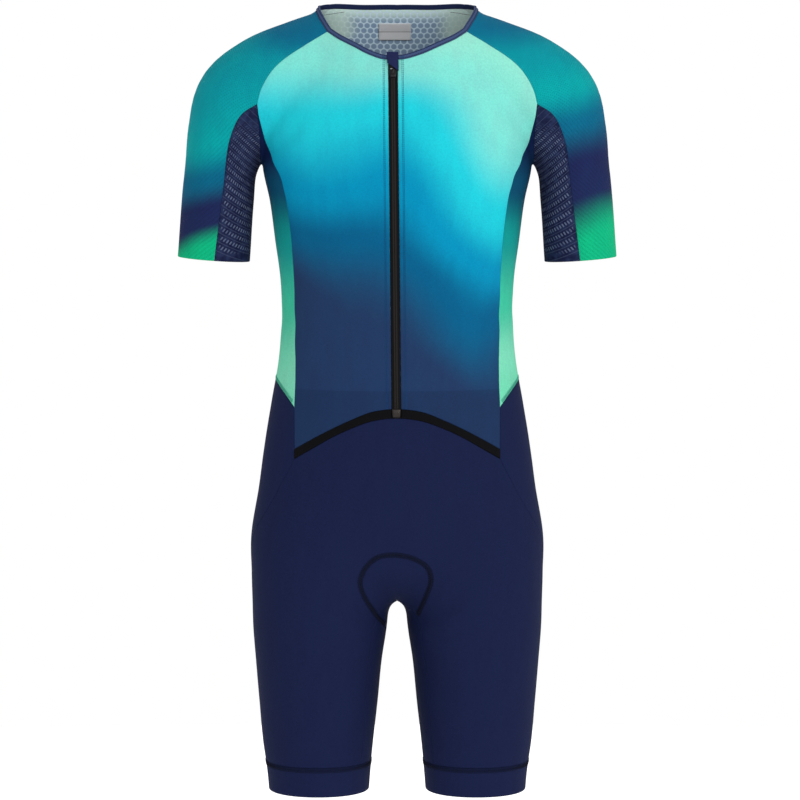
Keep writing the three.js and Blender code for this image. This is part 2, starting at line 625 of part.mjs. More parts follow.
const innerGrid = fill(crotchLine, bandInner, innerFront, innerBack);

const bandRing = join(bandFront, bandSide, bandSeatSide, bandSeat, turned(bandInner));
const bandGrid = [bandRing, bandRing.map(([x, y]) => settleLevel([x, y, LEG_HEM]))];

// The neck binding stands on the neck seam and reaches up to the opening.
const neckSeam = join(neckFront, neckSleeveFront, turned(neckSleeveBack), neckBack);
const neckEdge = neckSeam.map((p, i) => {
  const before = neckSeam[Math.max(i - 1, 0)];
  const after = neckSeam[Math.min(i + 1, neckSeam.length - 1)];
  const run = i === neckSeam.length - 1 ? [1, 0, 0] : sub(after, before);
  let up = unit(cross(outward(p), run));
  if (up[2] < 0) up = add([0, 0, 0], up, -1);
  if (i === 0 || i === neckSeam.length - 1) up = unit([0, up[1], up[2]]);
  return settle(add(p, up, BINDING_WIDTH));
});

// The zip runs down between the front panels; its coil stands proud of its tape.
const COIL_SHOULDER = COIL_HALF + 0.7;
const ZIP_COLUMNS = [-ZIP_HALF, -COIL_SHOULDER, -COIL_HALF, COIL_HALF, COIL_SHOULDER, ZIP_HALF];
const zipLine = [...zipEdge, tapeFoot[0]];
const zipGrid = zipLine.map((edge) => ZIP_COLUMNS.map((x) => (
  Math.abs(x) === ZIP_HALF ? [x, edge[1], edge[2]] : drop(x, edge[2], FRONT))));
const zipLift = (p) => (Math.abs(p[0]) <= COIL_HALF + 0.1 && p[2] > TAPE_TOP + 7 ? COIL_HEIGHT : 0);

// A small patch laid on the front or back. Each row goes from left to right at height z, and may slant down.
const laid = (rows, steps, side = FRONT) => rows.map(({ left, right, z, slant = 0 }) => Array.from(
  { length: steps + 1 },
  (_, i) => drop(left + ((right - left) * i) / steps, z - (slant * i) / steps, side),
));
const sliderGrid = laid([
  { left: -3, right: 3, z: -64 }, { left: -4.3, right: 4.3, z: -68 },
  { left: -4.3, right: 4.3, z: -74 }, { left: -3.2, right: 3.2, z: -79 },
], 4);
const garageGrid = laid([
  { left: -10.4, right: 2.6, z: -50.5 }, { left: -10.4, right: 2.6, z: -57 },
  { left: -10.2, right: 2.7, z: -60, slant: 4 }, { left: -9.6, right: 2.9, z: -63.4, slant: 8.8 },
], 4);
const stopGrid = laid([
  { left: -4.4, right: 4.4, z: TAPE_TOP + 0.5 }, { left: -4.8, right: 4.8, z: TAPE_TOP - 4 },
  { left: -4, right: 4, z: TAPE_TOP - 9 },
], 3);
const labelGrid = laid([
  { left: -21.4, right: 15.8, z: -16 }, { left: -21.4, right: 15.8, z: -25.5 },
  { left: -21.4, right: 15.8, z: -35 },
], 6, BACK);
const GARAGE_LOW = 2.4;
const GARAGE_HIGH = 5.6;
const garageLift = (p) => {
  const t = Math.min(Math.max((-53 - p[2]) / 8, 0), 1);
  return GARAGE_LOW + (GARAGE_HIGH - GARAGE_LOW) * t;
};

const pieces = [];
const single = (name, look, grids, options) => pieces.push(thicken(name, look, grids, options));
const pair = (name, look, grids, options) => {
  single(`${name}_left`, look, grids, options);
  single(`${name}_right`, look, grids, { ...options, flip: true });
};

pair('front', 'frontPrint', [frontGrid]);
pair('sleeve', 'sleevePrint', [sleeveFrontGrid, sleeveBackGrid]);
pair('underarm', 'mesh', [meshFrontGrid, meshBackGrid]);
pair('side', 'sidePrint', [sideFrontGrid, sideBackGrid]);
pair('waist_tape', 'tape', [[tapeTop, tapeFoot]], { wall: 1.7, lift: 0.4 });
pair('shorts_back', 'navyKnit', [hipSideGrid, hipBackGrid, seatGrid, legSideGrid, legBackGrid, legSeatGrid]);
pair('inner_leg', 'navyKnit', [innerGrid]);
pair('hem_band', 'navyKnit', [bandGrid], { wall: 1.4, lift: 0.2 });
single('back', 'backPrint', [backGrid, mirrored(backGrid)]);
single('shorts_front', 'navyKnit', [bellyGrid, thighGrid, mirrored(bellyGrid), mirrored(thighGrid)]);
const bindingGrid = [neckEdge, neckSeam];
single('neck_binding', 'binding', [bindingGrid, mirrored(bindingGrid)], { wall: 2.2, lift: 0.5 });
single('zip', 'zip', [zipGrid], { lift: zipLift, wall: (p) => CLOTH + zipLift(p) });
single('zip_slider', 'slider', [sliderGrid], { lift: (p) => 3.6 - Math.abs(p[0]) * 0.22, wall: 2.2, inset: 0 });
single('zip_garage', 'binding', [garageGrid], { lift: garageLift, wall: 1.4, inset: 0 });
single('zip_stop', 'stop', [stopGrid], { lift: 2.4, wall: 2.1, inset: 0 });
single('label', 'label', [labelGrid], { lift: -2, wall: 0.6, inset: 0 });

const suit = new THREE.Group();
suit.name = 'triathlon_suit';
for (const piece of pieces) suit.add(piece);

export default suit;
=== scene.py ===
import logging
import math
from dataclasses import dataclass, field
from enum import Enum
from functools import partial
from itertools import starmap
from typing import Any, NamedTuple, Sequence

import bpy
import numpy as np
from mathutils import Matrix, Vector


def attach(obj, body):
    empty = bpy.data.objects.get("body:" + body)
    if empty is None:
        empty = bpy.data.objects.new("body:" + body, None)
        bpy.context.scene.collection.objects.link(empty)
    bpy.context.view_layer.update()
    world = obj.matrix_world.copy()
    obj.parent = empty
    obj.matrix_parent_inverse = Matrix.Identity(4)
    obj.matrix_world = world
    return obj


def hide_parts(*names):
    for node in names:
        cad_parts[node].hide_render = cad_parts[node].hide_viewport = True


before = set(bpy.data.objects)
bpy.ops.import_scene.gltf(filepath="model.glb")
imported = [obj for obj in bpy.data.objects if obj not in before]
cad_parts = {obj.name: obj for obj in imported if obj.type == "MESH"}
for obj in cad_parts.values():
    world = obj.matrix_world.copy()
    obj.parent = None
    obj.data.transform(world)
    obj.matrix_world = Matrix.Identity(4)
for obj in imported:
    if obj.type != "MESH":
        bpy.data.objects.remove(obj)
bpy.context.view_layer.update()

# The looks of a short-sleeved triathlon suit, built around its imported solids.
# Shapes are worked out in millimetres, +Z up, the front facing -Y and the wearer's left +X.
# They are written to Blender in metres, in the same frame as the solids.

log = logging.getLogger("suit")

MM = 0.001
CLOTH = 1.2
SEAM_GAP = 0.04
DYE_DEPTH = 0.62
# The lining's colours are lifted above the dye depth: painted light that offsets the shade inside the suit.
LINING_DEPTH_LIFTED_FOR_SHADE = 0.76
BINDING_WIDTH = 5.8
ZIP_HALF = 5.4
ZIP_TOP = -58.4
TAPE_TOP = -447.3
LEAN_TOP = 4.8
LEAN_FOOT = 0.9
TAPE_WIDTH = 10.3
SLEEVE_HEM = -281.0
SLEEVE_HEM_FALL = 6 / 82
SLEEVE_OUTER = 249.0
SLEEVE_INNER = 167.0
MESH_HEM = 205.8
BAND_TOP = -858.0
LEG_HEM = -892.0
ARM_BLEND = 10.0
ARMPIT_BLEND = 4.5
ARMPIT_SPAN = (-178.0, -158.0)
LEG_BLEND = 22.0
LEG_TOP = -500.0
SEAT_BLEND = 70.0
SEAT_LEVEL = -671.0
ARM_STATIONS = 56
ARM_REACH = -345.0
FAR_OFF = 1e9
SURE = 1e-3
TINY = 1e-12
SLOPE_STEP = 0.8
DROP_FROM = 190.0
DROP_SHARE = 0.5
DROP_LEAST = 0.25
DROP_NEAR = 0.02
SETTLE_ROUNDS = 12
WELD = 0.01
WELD_SHIFT = 0.2371

Array = Points = Faces = np.ndarray
Triple = tuple[float, float, float]
Piece = bpy.types.Object
Material = bpy.types.Material


class TrunkRow(NamedTuple):
    """A level section of the trunk: half width, depth in front and behind, and squareness."""

    z: float
    half: float
    front: float
    back: float
    square: float


class LegRow(NamedTuple):
    """A level section of one leg about a centre line `centre` from the middle."""

    z: float
    centre: float
    half: float
    front: float
    back: float
    square: float


class ArmRow(NamedTuple):
    """A point of the arm's centre line in the front view, with its radius there and half depth."""

    x: float
    z: float
    radius: float
    depth: float


TRUNK = tuple(starmap(TrunkRow, (
    (60, 84, 58, 48, 2.1),
    (20, 85, 62, 50, 2.1),
    (0, 88, 67, 54, 2.1),
    (-30, 101, 73, 70, 2.15),
    (-60, 124, 83, 84, 2.2),
    (-100, 146, 96, 96, 2.3),
    (-140, 152, 106, 103, 2.35),
    (-180, 152.2, 112, 106, 2.35),
    (-217, 144.5, 113, 105, 2.3),
    (-262, 138.5, 109, 100, 2.3),
    (-308, 132.5, 102, 92, 2.25),
    (-354, 131.3, 97, 86, 2.25),
    (-399, 135, 95, 88, 2.25),
    (-445, 143, 95, 98, 2.25),
    (-491, 150.6, 96, 109, 2.25),
    (-537, 156.5, 97, 117, 2.25),
    (-583, 158, 96, 119, 2.25),
    (-620, 152, 94, 114, 2.25),
    (-660, 144, 88, 104, 2.25),
    (-720, 132, 80, 94, 2.2),
)))

LEG = tuple(starmap(LegRow, (
    (-480, 62, 50, 50, 60, 2.0),
    (-540, 76, 66, 74, 88, 2.1),
    (-600, 87, 78, 88, 104, 2.15),
    (-640, 88.4, 78, 91, 104, 2.2),
    (-675, 87.6, 78, 91, 101, 2.2),
    (-700, 88.2, 76.8, 89, 97, 2.2),
    (-744, 89.8, 72, 84, 90, 2.15),
    (-791, 90.2, 67.8, 78, 83, 2.1),
    (-837, 90.8, 63.2, 71, 75, 2.1),
    (-872, 90, 59, 66, 68, 2.1),
    (-920, 90, 55.5, 62, 64, 2.1),
)))

ARM = tuple(starmap(ArmRow, (
    (48, -58, 63, 62),
    (104, -75, 62, 66),
    (146, -91, 60.5, 65),
    (172, -107, 56.5, 61.5),
    (188, -138, 48.5, 55),
    (199.2, -178, 41, 50),
    (203.4, -217, 40.8, 48),
    (208, -280, 41, 46.5),
    (212, -330, 41, 46),
)))


class Side(Enum):
    """Which side of the suit a line is drawn on."""

    FRONT = -1
    BACK = 1


class SmoothRows:
    """Rows of sizes read as one smooth function of their first column."""

    def __init__(self, rows: Sequence[Sequence[float]]) -> None:
        """Keeps the rows in rising order, with the slope at each.

        Args:
            rows: The table, its first column the key.
        """
        table = np.array(sorted(tuple(row) for row in rows), float)
        self.keys = table[:, 0]
        self.values = table[:, 1:]
        steps = np.diff(self.keys)[:, None]
        rises = np.diff(self.values, axis=0) / steps
        inner = (rises[:-1] * steps[1:] + rises[1:] * steps[:-1]) / (steps[1:] + steps[:-1])
        self.slopes = np.vstack([rises[:1], inner, rises[-1:]])

    def at(self, where: Array) -> Array:
        """Reads the sizes at some keys, by the cubic that meets both rows' slopes.

        Args:
            where: The keys.

        Returns:
            One row of sizes for each key.
        """
        key = np.clip(where, self.keys[0], self.keys[-1])
        i = np.clip(np.searchsorted(self.keys, key, side="right") - 1, 0, len(self.keys) - 2)
        span = (self.keys[i + 1] - self.keys[i])[:, None]
        s = (key - self.keys[i])[:, None] / span
        rise = s * s * (3 - 2 * s)
        lean = s * (1 - s) * span * ((1 - s) * self.slopes[i] - s * self.slopes[i + 1])
        return (1 - rise) * self.values[i] + rise * self.values[i + 1] + lean


def soft_min(a: Array, b: Array, reach: float | Array) -> Array:
    """Returns the lesser of two gaps, rounded off where they are within `reach` of each other."""
    near = np.maximum(reach - np.abs(a - b), 0) / reach
    return np.minimum(a, b) - near * near * reach / 4


def oval_gap(x: Array, y: Array, half: Array, deep: Array,
             square: Array) -> Array:
    """Works out the distance past a superellipse, measured from its centre.

    Args:
        x: Places to the side of the centre.
        y: Places in front of it or behind.
        half: The half width.
        deep: The half depth.
        square: The squareness, 2 for an ellipse.

    Returns:
        The distance, negative inside.
    """
    rho = np.maximum(np.hypot(x, y), 1e-6)
    share = (np.abs(x) / rho / half) ** square + (np.abs(y) / rho / deep) ** square
    return rho - np.maximum(share, TINY) ** (-1 / square)


def unit(vectors: Array) -> Array:
    """Returns vectors of length one."""
    return vectors / np.maximum(np.linalg.norm(vectors, axis=-1, keepdims=True), TINY)


class FilledForm:
    """The filled-out shape the cloth lies on, as a gap: negative inside, about millimetres outside."""

    def __init__(self) -> None:
        """Prepares the tables and cuts the arm's centre line into short tapered pieces."""
        self.trunk = SmoothRows(TRUNK)
        self.leg = SmoothRows(LEG)
        table = np.array(ARM, float)
        run = np.concatenate([[0.0], np.cumsum(np.hypot(*np.diff(table[:, :2], axis=0).T))])
        rows = SmoothRows(np.column_stack([run, table]))
        self.arm = rows.at(np.linspace(0.0, run[-1], ARM_STATIONS))

    def arm_gap(self, p: Points) -> Array:
        """Works out the distance past the nearest tapered piece of the arm.

        Args:
            p: The points.

        Returns:
            Each point's distance, negative inside.
        """
        best = np.full(len(p), FAR_OFF)
        x, y, z = np.abs(p[:, 0]), p[:, 1], p[:, 2]
        for a, b in zip(self.arm[:-1], self.arm[1:]):
            dx, dz = b[0] - a[0], b[1] - a[1]
            h = np.clip(((x - a[0]) * dx + (z - a[1]) * dz) / (dx * dx + dz * dz), 0, 1)
            radius = a[2] + (b[2] - a[2]) * h
            depth = a[3] + (b[3] - a[3]) * h
            away = (x - a[0] - dx * h) ** 2 + (z - a[1] - dz * h) ** 2 + (y * radius / depth) ** 2
            best = np.minimum(best, np.sqrt(away) - radius)
        return best

    def gap(self, p: Points) -> Array:
        """Works out the gap: trunk, closed below, joined to the leg and to the arm, closer at the armpit.

        Args:
            p: The points.

        Returns:
            Each point's gap.
        """
        x, y, z = np.abs(p[:, 0]), p[:, 1], p[:, 2]
        half, front, back, square = self.trunk.at(z).T
        gap = oval_gap(x, y, half, np.where(y < 0, front, back), square)
        gap = -soft_min(-gap, z - SEAT_LEVEL, SEAT_BLEND)
        centre, half, front, back, square = self.leg.at(z).T
        leg = oval_gap(x - centre, y, half, np.where(y < 0, front, back), square)
        gap = soft_min(gap, np.maximum(leg, z - LEG_TOP), LEG_BLEND)
        arm = np.full(len(p), FAR_OFF)
        close = (z > ARM_REACH) & (x > 20)
        arm[close] = self.arm_gap(p[close])
        return soft_min(gap, arm, np.interp(z, ARMPIT_SPAN, (ARMPIT_BLEND, ARM_BLEND)))

    def slope(self, p: Points) -> Array:
        """Works out the rise of the gap along each axis, over a small step to both sides.

        Args:
            p: The points.

        Returns:
            One vector for each point.
        """
        out = np.empty_like(p)
        for k, step in enumerate(np.eye(3) * SLOPE_STEP):
            out[:, k] = (self.gap(p + step) - self.gap(p - step)) / (2 * SLOPE_STEP)
        return out

    def normal(self, p: Points) -> Array:
        """Returns the outward direction at each point."""
        return unit(self.slope(p))

    def settle(self, points: Points, level: bool = False) -> Points:
        """Brings points onto the form by Newton's steps.

        Args:
            points: Points near the form.
            level: Keeps each point's height.

        Returns:
            The points on the form.
        """
        q = np.array(points, float)
        busy = np.arange(len(q))
        for _ in range(SETTLE_ROUNDS):
            gap = self.gap(q[busy])
            off = np.abs(gap) > SURE
            busy, gap = busy[off], gap[off]
            if not len(busy):
                break
            rise = self.slope(q[busy])
            if level:
                rise[:, 2] = 0
            q[busy] -= rise * (gap / np.maximum((rise * rise).sum(axis=1), 0.04))[:, None]
        return q

    def drop(self, x: Array, z: Array, side: Side) -> Points:
        """Finds where points of the front view lie on the form, stepping in from one side.

        Args:
            x: Their places to the side.
            z: Their heights.
            side: The side that they are seen from.

        Returns:
            The points on the form.
        """
        x, z = np.array(x, float), np.array(z, float)
        y = np.full(len(x), side.value * DROP_FROM)
        nearest, best = np.full(len(x), FAR_OFF), y.copy()
        busy = np.arange(len(x))
        while len(busy):
            gap = self.gap(np.column_stack([x[busy], y[busy], z[busy]]))
            better = gap < nearest[busy]
            nearest[busy[better]] = gap[better]
            best[busy[better]] = y[busy[better]]
            busy, gap = busy[gap >= DROP_NEAR], gap[gap >= DROP_NEAR]
            y[busy] -= side.value * np.maximum(gap * DROP_SHARE, DROP_LEAST)
            busy = busy[y[busy] * side.value > 0.5]
        return self.settle(np.column_stack([x, best, z]))


def spline(points: Sequence[Sequence[float]], steps: int = 40) -> Points:
    """Draws a smooth line through control points, a centripetal Catmull-Rom spline.

    Args:
        points: The control points, in as many dimensions as they have.
        steps: How many steps lie between two of them.

    Returns:
        The line's points.
    """
    p = np.array(points, float)
    t = np.sqrt(np.linalg.norm(np.diff(p, axis=0), axis=1))
    s = np.arange(steps)[:, None] / steps
    line = []
    for i in range(len(p) - 1):
        start = end = p[i + 1] - p[i]
        if i > 0:
            start = start + t[i] * ((p[i] - p[i - 1]) / t[i - 1] - (p[i + 1] - p[i - 1]) / (t[i - 1] + t[i]))
        if i < len(p) - 2:
            end = end + t[i] * ((p[i + 2] - p[i + 1]) / t[i + 1] - (p[i + 2] - p[i]) / (t[i] + t[i + 1]))
        rise = s * s * (3 - 2 * s)
        line.append((1 - rise) * p[i] + rise * p[i + 1] + s * (1 - s) * ((1 - s) * start - s * end))
    return np.vstack([*line, p[-1:]])


def lengths(line: Points) -> Array:
    """Returns the length run from a line's start at each of its points."""
    return np.concatenate([[0.0], np.cumsum(np.linalg.norm(np.diff(line, axis=0), axis=1))])


def at_lengths(line: Points, where: Array) -> Points:
    """Returns the points of a line at some lengths from its start."""
    run = lengths(line)
    return np.column_stack([np.interp(where, run, line[:, k]) for k in range(3)])


def cut(line: Points, steps: int) -> Points:
    """Cuts a line into equal steps along its length."""
    return at_lengths(line, np.linspace(0, lengths(line)[-1], steps + 1))


def join(*lines: Points) -> Points:
    """Joins lines that meet end to end into one."""
    return np.vstack([lines[0], *[line[1:] for line in lines[1:]]])


@dataclass(frozen=True)
class Steps:
    """How many fine mesh steps each stretch of seam takes."""

    raglan: int = 36
    side: int = 84
    hip_edge: int = 12
    tape: int = 6
    hip: int = 42
    leg: int = 48
    mesh: int = 54
    armhole: int = 24
    shoulder: int = 30
    front: int = 48
    back: int = 30
    inner: int = 24
    band: int = 12


STEPS = Steps()

EDGE_LINES = (0.5, 1.6)
EDGE_FALL = (0.38, 0.07, 0.0)


@dataclass
class Patch:
    """A grid of cloth points with their rank from a cut edge and their place in the weave."""

    points: Array
    rank: Array
    weave: Array

    def mirrored(self) -> "Patch":
        """Returns the same patch on the wearer's other side."""
        return Patch(self.points * (-1, 1, 1), self.rank, self.weave * (-1, 1))


class Seams:
    """The suit's seam lines on the wearer's left half, as drawn on the filled form."""

    def __init__(self, form: FilledForm) -> None:
        """Draws every seam.

        Args:
            form: The form that the cloth lies on.
        """
        self.form = form
        self._front()
        self._sleeve()
        self._back()
        self._shorts()
        self._legs()

    def seen(self, points: Sequence[Sequence[float]], side: Side = Side.FRONT) -> Points:
        """Draws a line through points of the front view, dropped on the form from one side."""
        flat = spline([(p[0], p[-1]) for p in points])
        return self.form.drop(flat[:, 0], flat[:, 1], side)

    def along(self, points: Sequence[Sequence[float]], level: bool = False) -> Points:
        """Draws a line through points in space, brought onto the form."""
        return self.form.settle(spline(points), level)

    def spot(self, x: float, y: float, z: float) -> Array:
        """Returns the point of the form near a point in space."""
        return self.form.settle(np.array([[x, y, z]]))[0]

    def spot_seen(self, x: float, z: float, side: Side = Side.FRONT) -> Array:
        """Returns the point of the form seen at a place of the front view."""
        return self.form.drop([x], [z], side)[0]

    def _front(self) -> None:
        """Draws the neck, raglan, side and waist seams of the front."""
        self.peak_front = self.spot_seen(156.3, -107.8)
        self.peak_back = self.spot_seen(156.3, -107.8, Side.BACK)
        self.armpit = self.spot(157, 0, -175)
        self.neck_top = self.spot(91, 0, -2.2)
        self.neck_front_side = self.spot_seen(78.2, -27.4)
        self.neck_back_side = self.spot(76, 27, -2)
        self.strip_front = self.spot_seen(115.8, -447.5)
        self.tape_top_end = self.spot_seen(115.4, -494.3)
        self.tape_foot_end = self.spot_seen(115.6, -505.4)
        self.zip_head = self.spot_seen(ZIP_HALF, ZIP_TOP)
        self.zip_foot = self.spot_seen(ZIP_HALF, TAPE_TOP)
        self.zip_edge = self.seen([self.zip_head, self.zip_foot])
        self.neck_front = self.seen([
            self.zip_head, (12.9, -57.8), (30.8, -52), (46.4, -44.6), (66, -35.2), self.neck_front_side,
        ])
        self.raglan_front = self.seen([
            self.neck_front_side, (103, -42.3), (123.9, -56), (136.1, -66.7), (145.7, -79.4),
            (152.9, -94.3), self.peak_front,
        ])
        self.side_front = self.seen([
            self.peak_front, (155, -120.2), (152.3, -132.5), (148.2, -149.5), (141, -167.2),
            (132.6, -185.9), (126.3, -204.7), (122.6, -226), (118.7, -259.6), (115.7, -312.8),
            (115.2, -356.9), (114.6, -410.6), self.strip_front,
        ])
        self.hip_edge = self.seen([self.strip_front, self.tape_top_end])
        self.tape_top = self._tape_curve(0, self.zip_foot, self.tape_top_end)
        foot = self.spot_seen(ZIP_HALF, TAPE_TOP - TAPE_WIDTH)
        self.tape_foot = self._tape_curve(TAPE_WIDTH, foot, self.tape_foot_end)

    def _tape_curve(self, fall: float, start: Array, end: Array) -> Points:
        """Returns the line `fall` below the waist tape's upper edge, from the zip to the hip seam."""
        return self.seen([
            start, (10.7, TAPE_TOP - 0.3 - fall), (29.7, TAPE_TOP - 3.6 - fall),
            (51, TAPE_TOP - 12.2 - fall * 0.93), (72.6, TAPE_TOP - 22.5 - fall * 0.93),
            (94.2, TAPE_TOP - 34.3 - fall * 1.04), end,
        ])

    def hem_height(self, x: float) -> float:
        """Returns the sleeve hem's height, which falls a little towards the body."""
        return SLEEVE_HEM - (SLEEVE_OUTER - x) * SLEEVE_HEM_FALL

    def _armhole(self, peak: Array, side: Side) -> Points:
        """Draws the armhole's lower part from a peak to the armpit."""
        line = self.seen([peak, (154.4, -140), self.armpit], side)
        return np.vstack([line[:-1], self.armpit])

    def _hem_arc(self, a: Array, b: Array) -> Points:
        """Draws a quarter of the sleeve hem, bowed away from the sleeve's axis.

        Args:
            a: Where it starts.
            b: Where it ends.

        Returns:
            The line.
        """
        axis, reach = (SLEEVE_OUTER + SLEEVE_INNER) / 2, (SLEEVE_OUTER - SLEEVE_INNER) / 2
        away = unit(np.array([(a[0] + b[0]) / 2 - axis, (a[1] + b[1]) / 2]))
        x = axis + away[0] * reach
        return self.along([a, (x, away[1] * reach, self.hem_height(x)), b])

    def _sleeve(self) -> None:
        """Draws the armhole, sleeve and underarm seams."""
        hem = (MESH_HEM, self.hem_height(MESH_HEM))
        self.armhole_front = self._armhole(self.peak_front, Side.FRONT)
        self.armhole_back = self._armhole(self.peak_back, Side.BACK)
        self.mesh_front = self.seen([
            self.peak_front, (174.4, -120.1), (187.6, -148.1), (195.3, -204.2), hem,
        ])
        self.mesh_back = self.seen([
            self.peak_back, (174.4, -122), (187, -150), (195.3, -204.2), hem,
        ], Side.BACK)
        self.arm_outer = self.along([
            self.neck_top, (132, 0, -19.5), (175, 0, -36), (203, 0, -53), (221, 0, -81),
            (232, 0, -127), (241, 0, -194), (SLEEVE_OUTER, 0, self.hem_height(SLEEVE_OUTER)),
        ])
        self.arm_inner = self.along([
            self.armpit, (160, 0, -205), (163, 0, -240), (SLEEVE_INNER, 0, self.hem_height(SLEEVE_INNER)),
        ])
        self.hem_front_out, self.hem_back_out, self.hem_front_in, self.hem_back_in = (
            self._hem_arc(mesh[-1], arm[-1])
            for arm in (self.arm_outer, self.arm_inner) for mesh in (self.mesh_front, self.mesh_back))
        self.neck_sleeve_front = self.along([self.neck_front_side, (87, -30, -13.5), self.neck_top])
        self.neck_sleeve_back = self.along([self.neck_back_side, (88, 13, -2), self.neck_top])

    def _back(self) -> None:
        """Draws the back panel's seams and the side strip's foot."""
        self.strip_back = self.spot_seen(114, -436, Side.BACK)
        self.side_foot = self.spot(137.5, 0, -420)
        raglan = self.seen([
            self.neck_back_side, (100, -20), (122, -44), (141, -72), self.peak_back,
        ], Side.BACK)
        self.raglan_back = np.vstack([self.neck_back_side, raglan[1:]])
        self.neck_back = self.along([self.neck_back_side, (40, 48, -2), (0, 54, -1.6)])
        self.side_back = self.seen([
            self.peak_back, (155, -121), (151.5, -133), (147, -149.5), (139, -168), (130, -190),
            (121, -240), (114, -300), (111.5, -350), (112, -400), self.strip_back,
        ], Side.BACK)
        self.waist_back = self.seen([self.strip_back, (60, -440), (0, -441)], Side.BACK)
        self.spine = self.along([
            self.neck_back[-1], (0, 96, -100), (0, 106, -180), (0, 92, -308), (0, 88, -399),
            self.waist_back[-1],
        ])
        self.side_line = self.along([
            self.armpit, (147, 0, -205), (138.5, 0, -262), (132.5, 0, -308), (131.5, 0, -354),
            (135, 0, -399), self.side_foot,
        ])
        foot = self.seen([self.strip_front, (126.3, -434), self.side_foot])
        self.strip_foot_front = np.vstack([foot[:-1], self.side_foot])
        self.strip_foot_back = self.along([self.strip_back, (128, 50, -427), self.side_foot])

    def _shorts(self) -> None:
        """Draws the seams of the belly, hip and seat."""
        self.crotch_front = self.spot(0, -38, -673)
        self.crotch_back = self.spot(0, 45, -672)
        self.outer_top = self.spot(166, 10, -662)
        self.hip_seam = self.along([
            self.tape_foot_end, self.spot_seen(129.5, -533.3), self.spot_seen(146.8, -565.1),
            self.spot_seen(161.5, -593.2), (165.5, -10, -622), self.outer_top,
        ])
        self.belly_line = self.along([
            self.spot_seen(0, TAPE_TOP - TAPE_WIDTH), self.spot_seen(0, -560),
            self.spot_seen(0, -625), self.spot_seen(0, -655), self.crotch_front,
        ])
        self.row_front = self.along([
            self.crotch_front, (24, -62, -672), (50, -86, -670), (88, -92, -668), (130, -75, -666),
            (158, -30, -664), self.outer_top,
        ])
        self.crotch_line = self.along([self.crotch_front, (0, 0, -674), self.crotch_back])
        self.side_lower = self.along([
            self.side_foot, (143, 1, -445), (152, 6, -500), (163, 18, -590), (160, 42, -664),
        ])
        self.seat_line = self.along([
            self.strip_back, (120, 82, -500), (128, 92, -590), (122, 86, -664),
        ])
        self.tail = self.along([
            self.waist_back[-1], (0, 112, -500), (0, 119, -590), (0, 108, -632), (0, 84, -660),
            self.crotch_back,
        ])
        self.row_side = self.along([self.outer_top, (166, 26, -663), self.side_lower[-1]])
        self.row_seat_side = self.along([self.side_lower[-1], (144, 68, -665), self.seat_line[-1]])
        self.row_seat = self.along([
            self.seat_line[-1], (84, 103, -655), (42, 96, -654), (14, 67, -666), self.crotch_back,
        ])

    def _legs(self) -> None:
        """Draws the leg seams and the ring above the hem band."""
        def band(x: float, y: float) -> Array:
            """Returns a point of the ring above the band."""
            return self.form.settle(np.array([[x, y, BAND_TOP]]), level=True)[0]

        def ring(*places: Sequence[float]) -> Points:
            """Draws a stretch of the ring above the band."""
            return self.along([p if len(p) == 3 else (*p, BAND_TOP) for p in places], level=True)

        outer_foot, front_foot, back_foot = band(149, 9), band(41, -42), band(45, 46)
        side_foot, seat_foot = band(131, 40), band(108, 64)
        self.outer_leg = self.along([self.outer_top, (160, 11, -760), outer_foot])
        self.inner_front = self.along([
            self.crotch_front, (14, -50, -684), (25.5, -57.6, -697), (29.5, -55.4, -724),
            (35.2, -49.6, -782), front_foot,
        ])
        self.inner_back = self.along([
            self.crotch_back, (10, 53, -680), (26, 60, -708), (37, 56, -782), back_foot,
        ])
        self.side_leg = self.along([self.side_lower[-1], (146, 44, -760), side_foot])
        self.seat_leg = self.along([self.seat_line[-1], (118, 76, -760), seat_foot])
        self.band_front = ring(front_foot, (62, -61), (90, -68), (120, -58), (143, -28), outer_foot)
        self.band_inner = ring(front_foot, (30, 0), back_foot)
        self.band_side = ring(outer_foot, (143, 27), side_foot)
        self.band_seat_side = ring(side_foot, (121, 54), seat_foot)
        self.band_seat = ring(seat_foot, (90, 70), (68, 64), back_foot)


def edge_places(steps: int, span: float, first: bool, last: bool) -> Array:
    """Spaces the lines of a grid evenly, with two more close to each cut edge.

    Args:
        steps: The even steps.
        span: The cloth's usual size that way, in millimetres.
        first: Whether the first line is a cut edge.
        last: Whether the last line is a cut edge.

    Returns:
        Places from 0 to 1.
    """
    places = list(np.linspace(0, 1, steps + 1))
    for line in EDGE_LINES:
        places += [line / span] * first + [1 - line / span] * last
    return np.array(sorted(places))


def along_steps(line: Points, places: Array) -> Points:
    """Reads a line at places counted by its own steps."""
    own = np.linspace(0, 1, len(line))
    return np.column_stack([np.interp(places, own, line[:, k]) for k in range(3)])


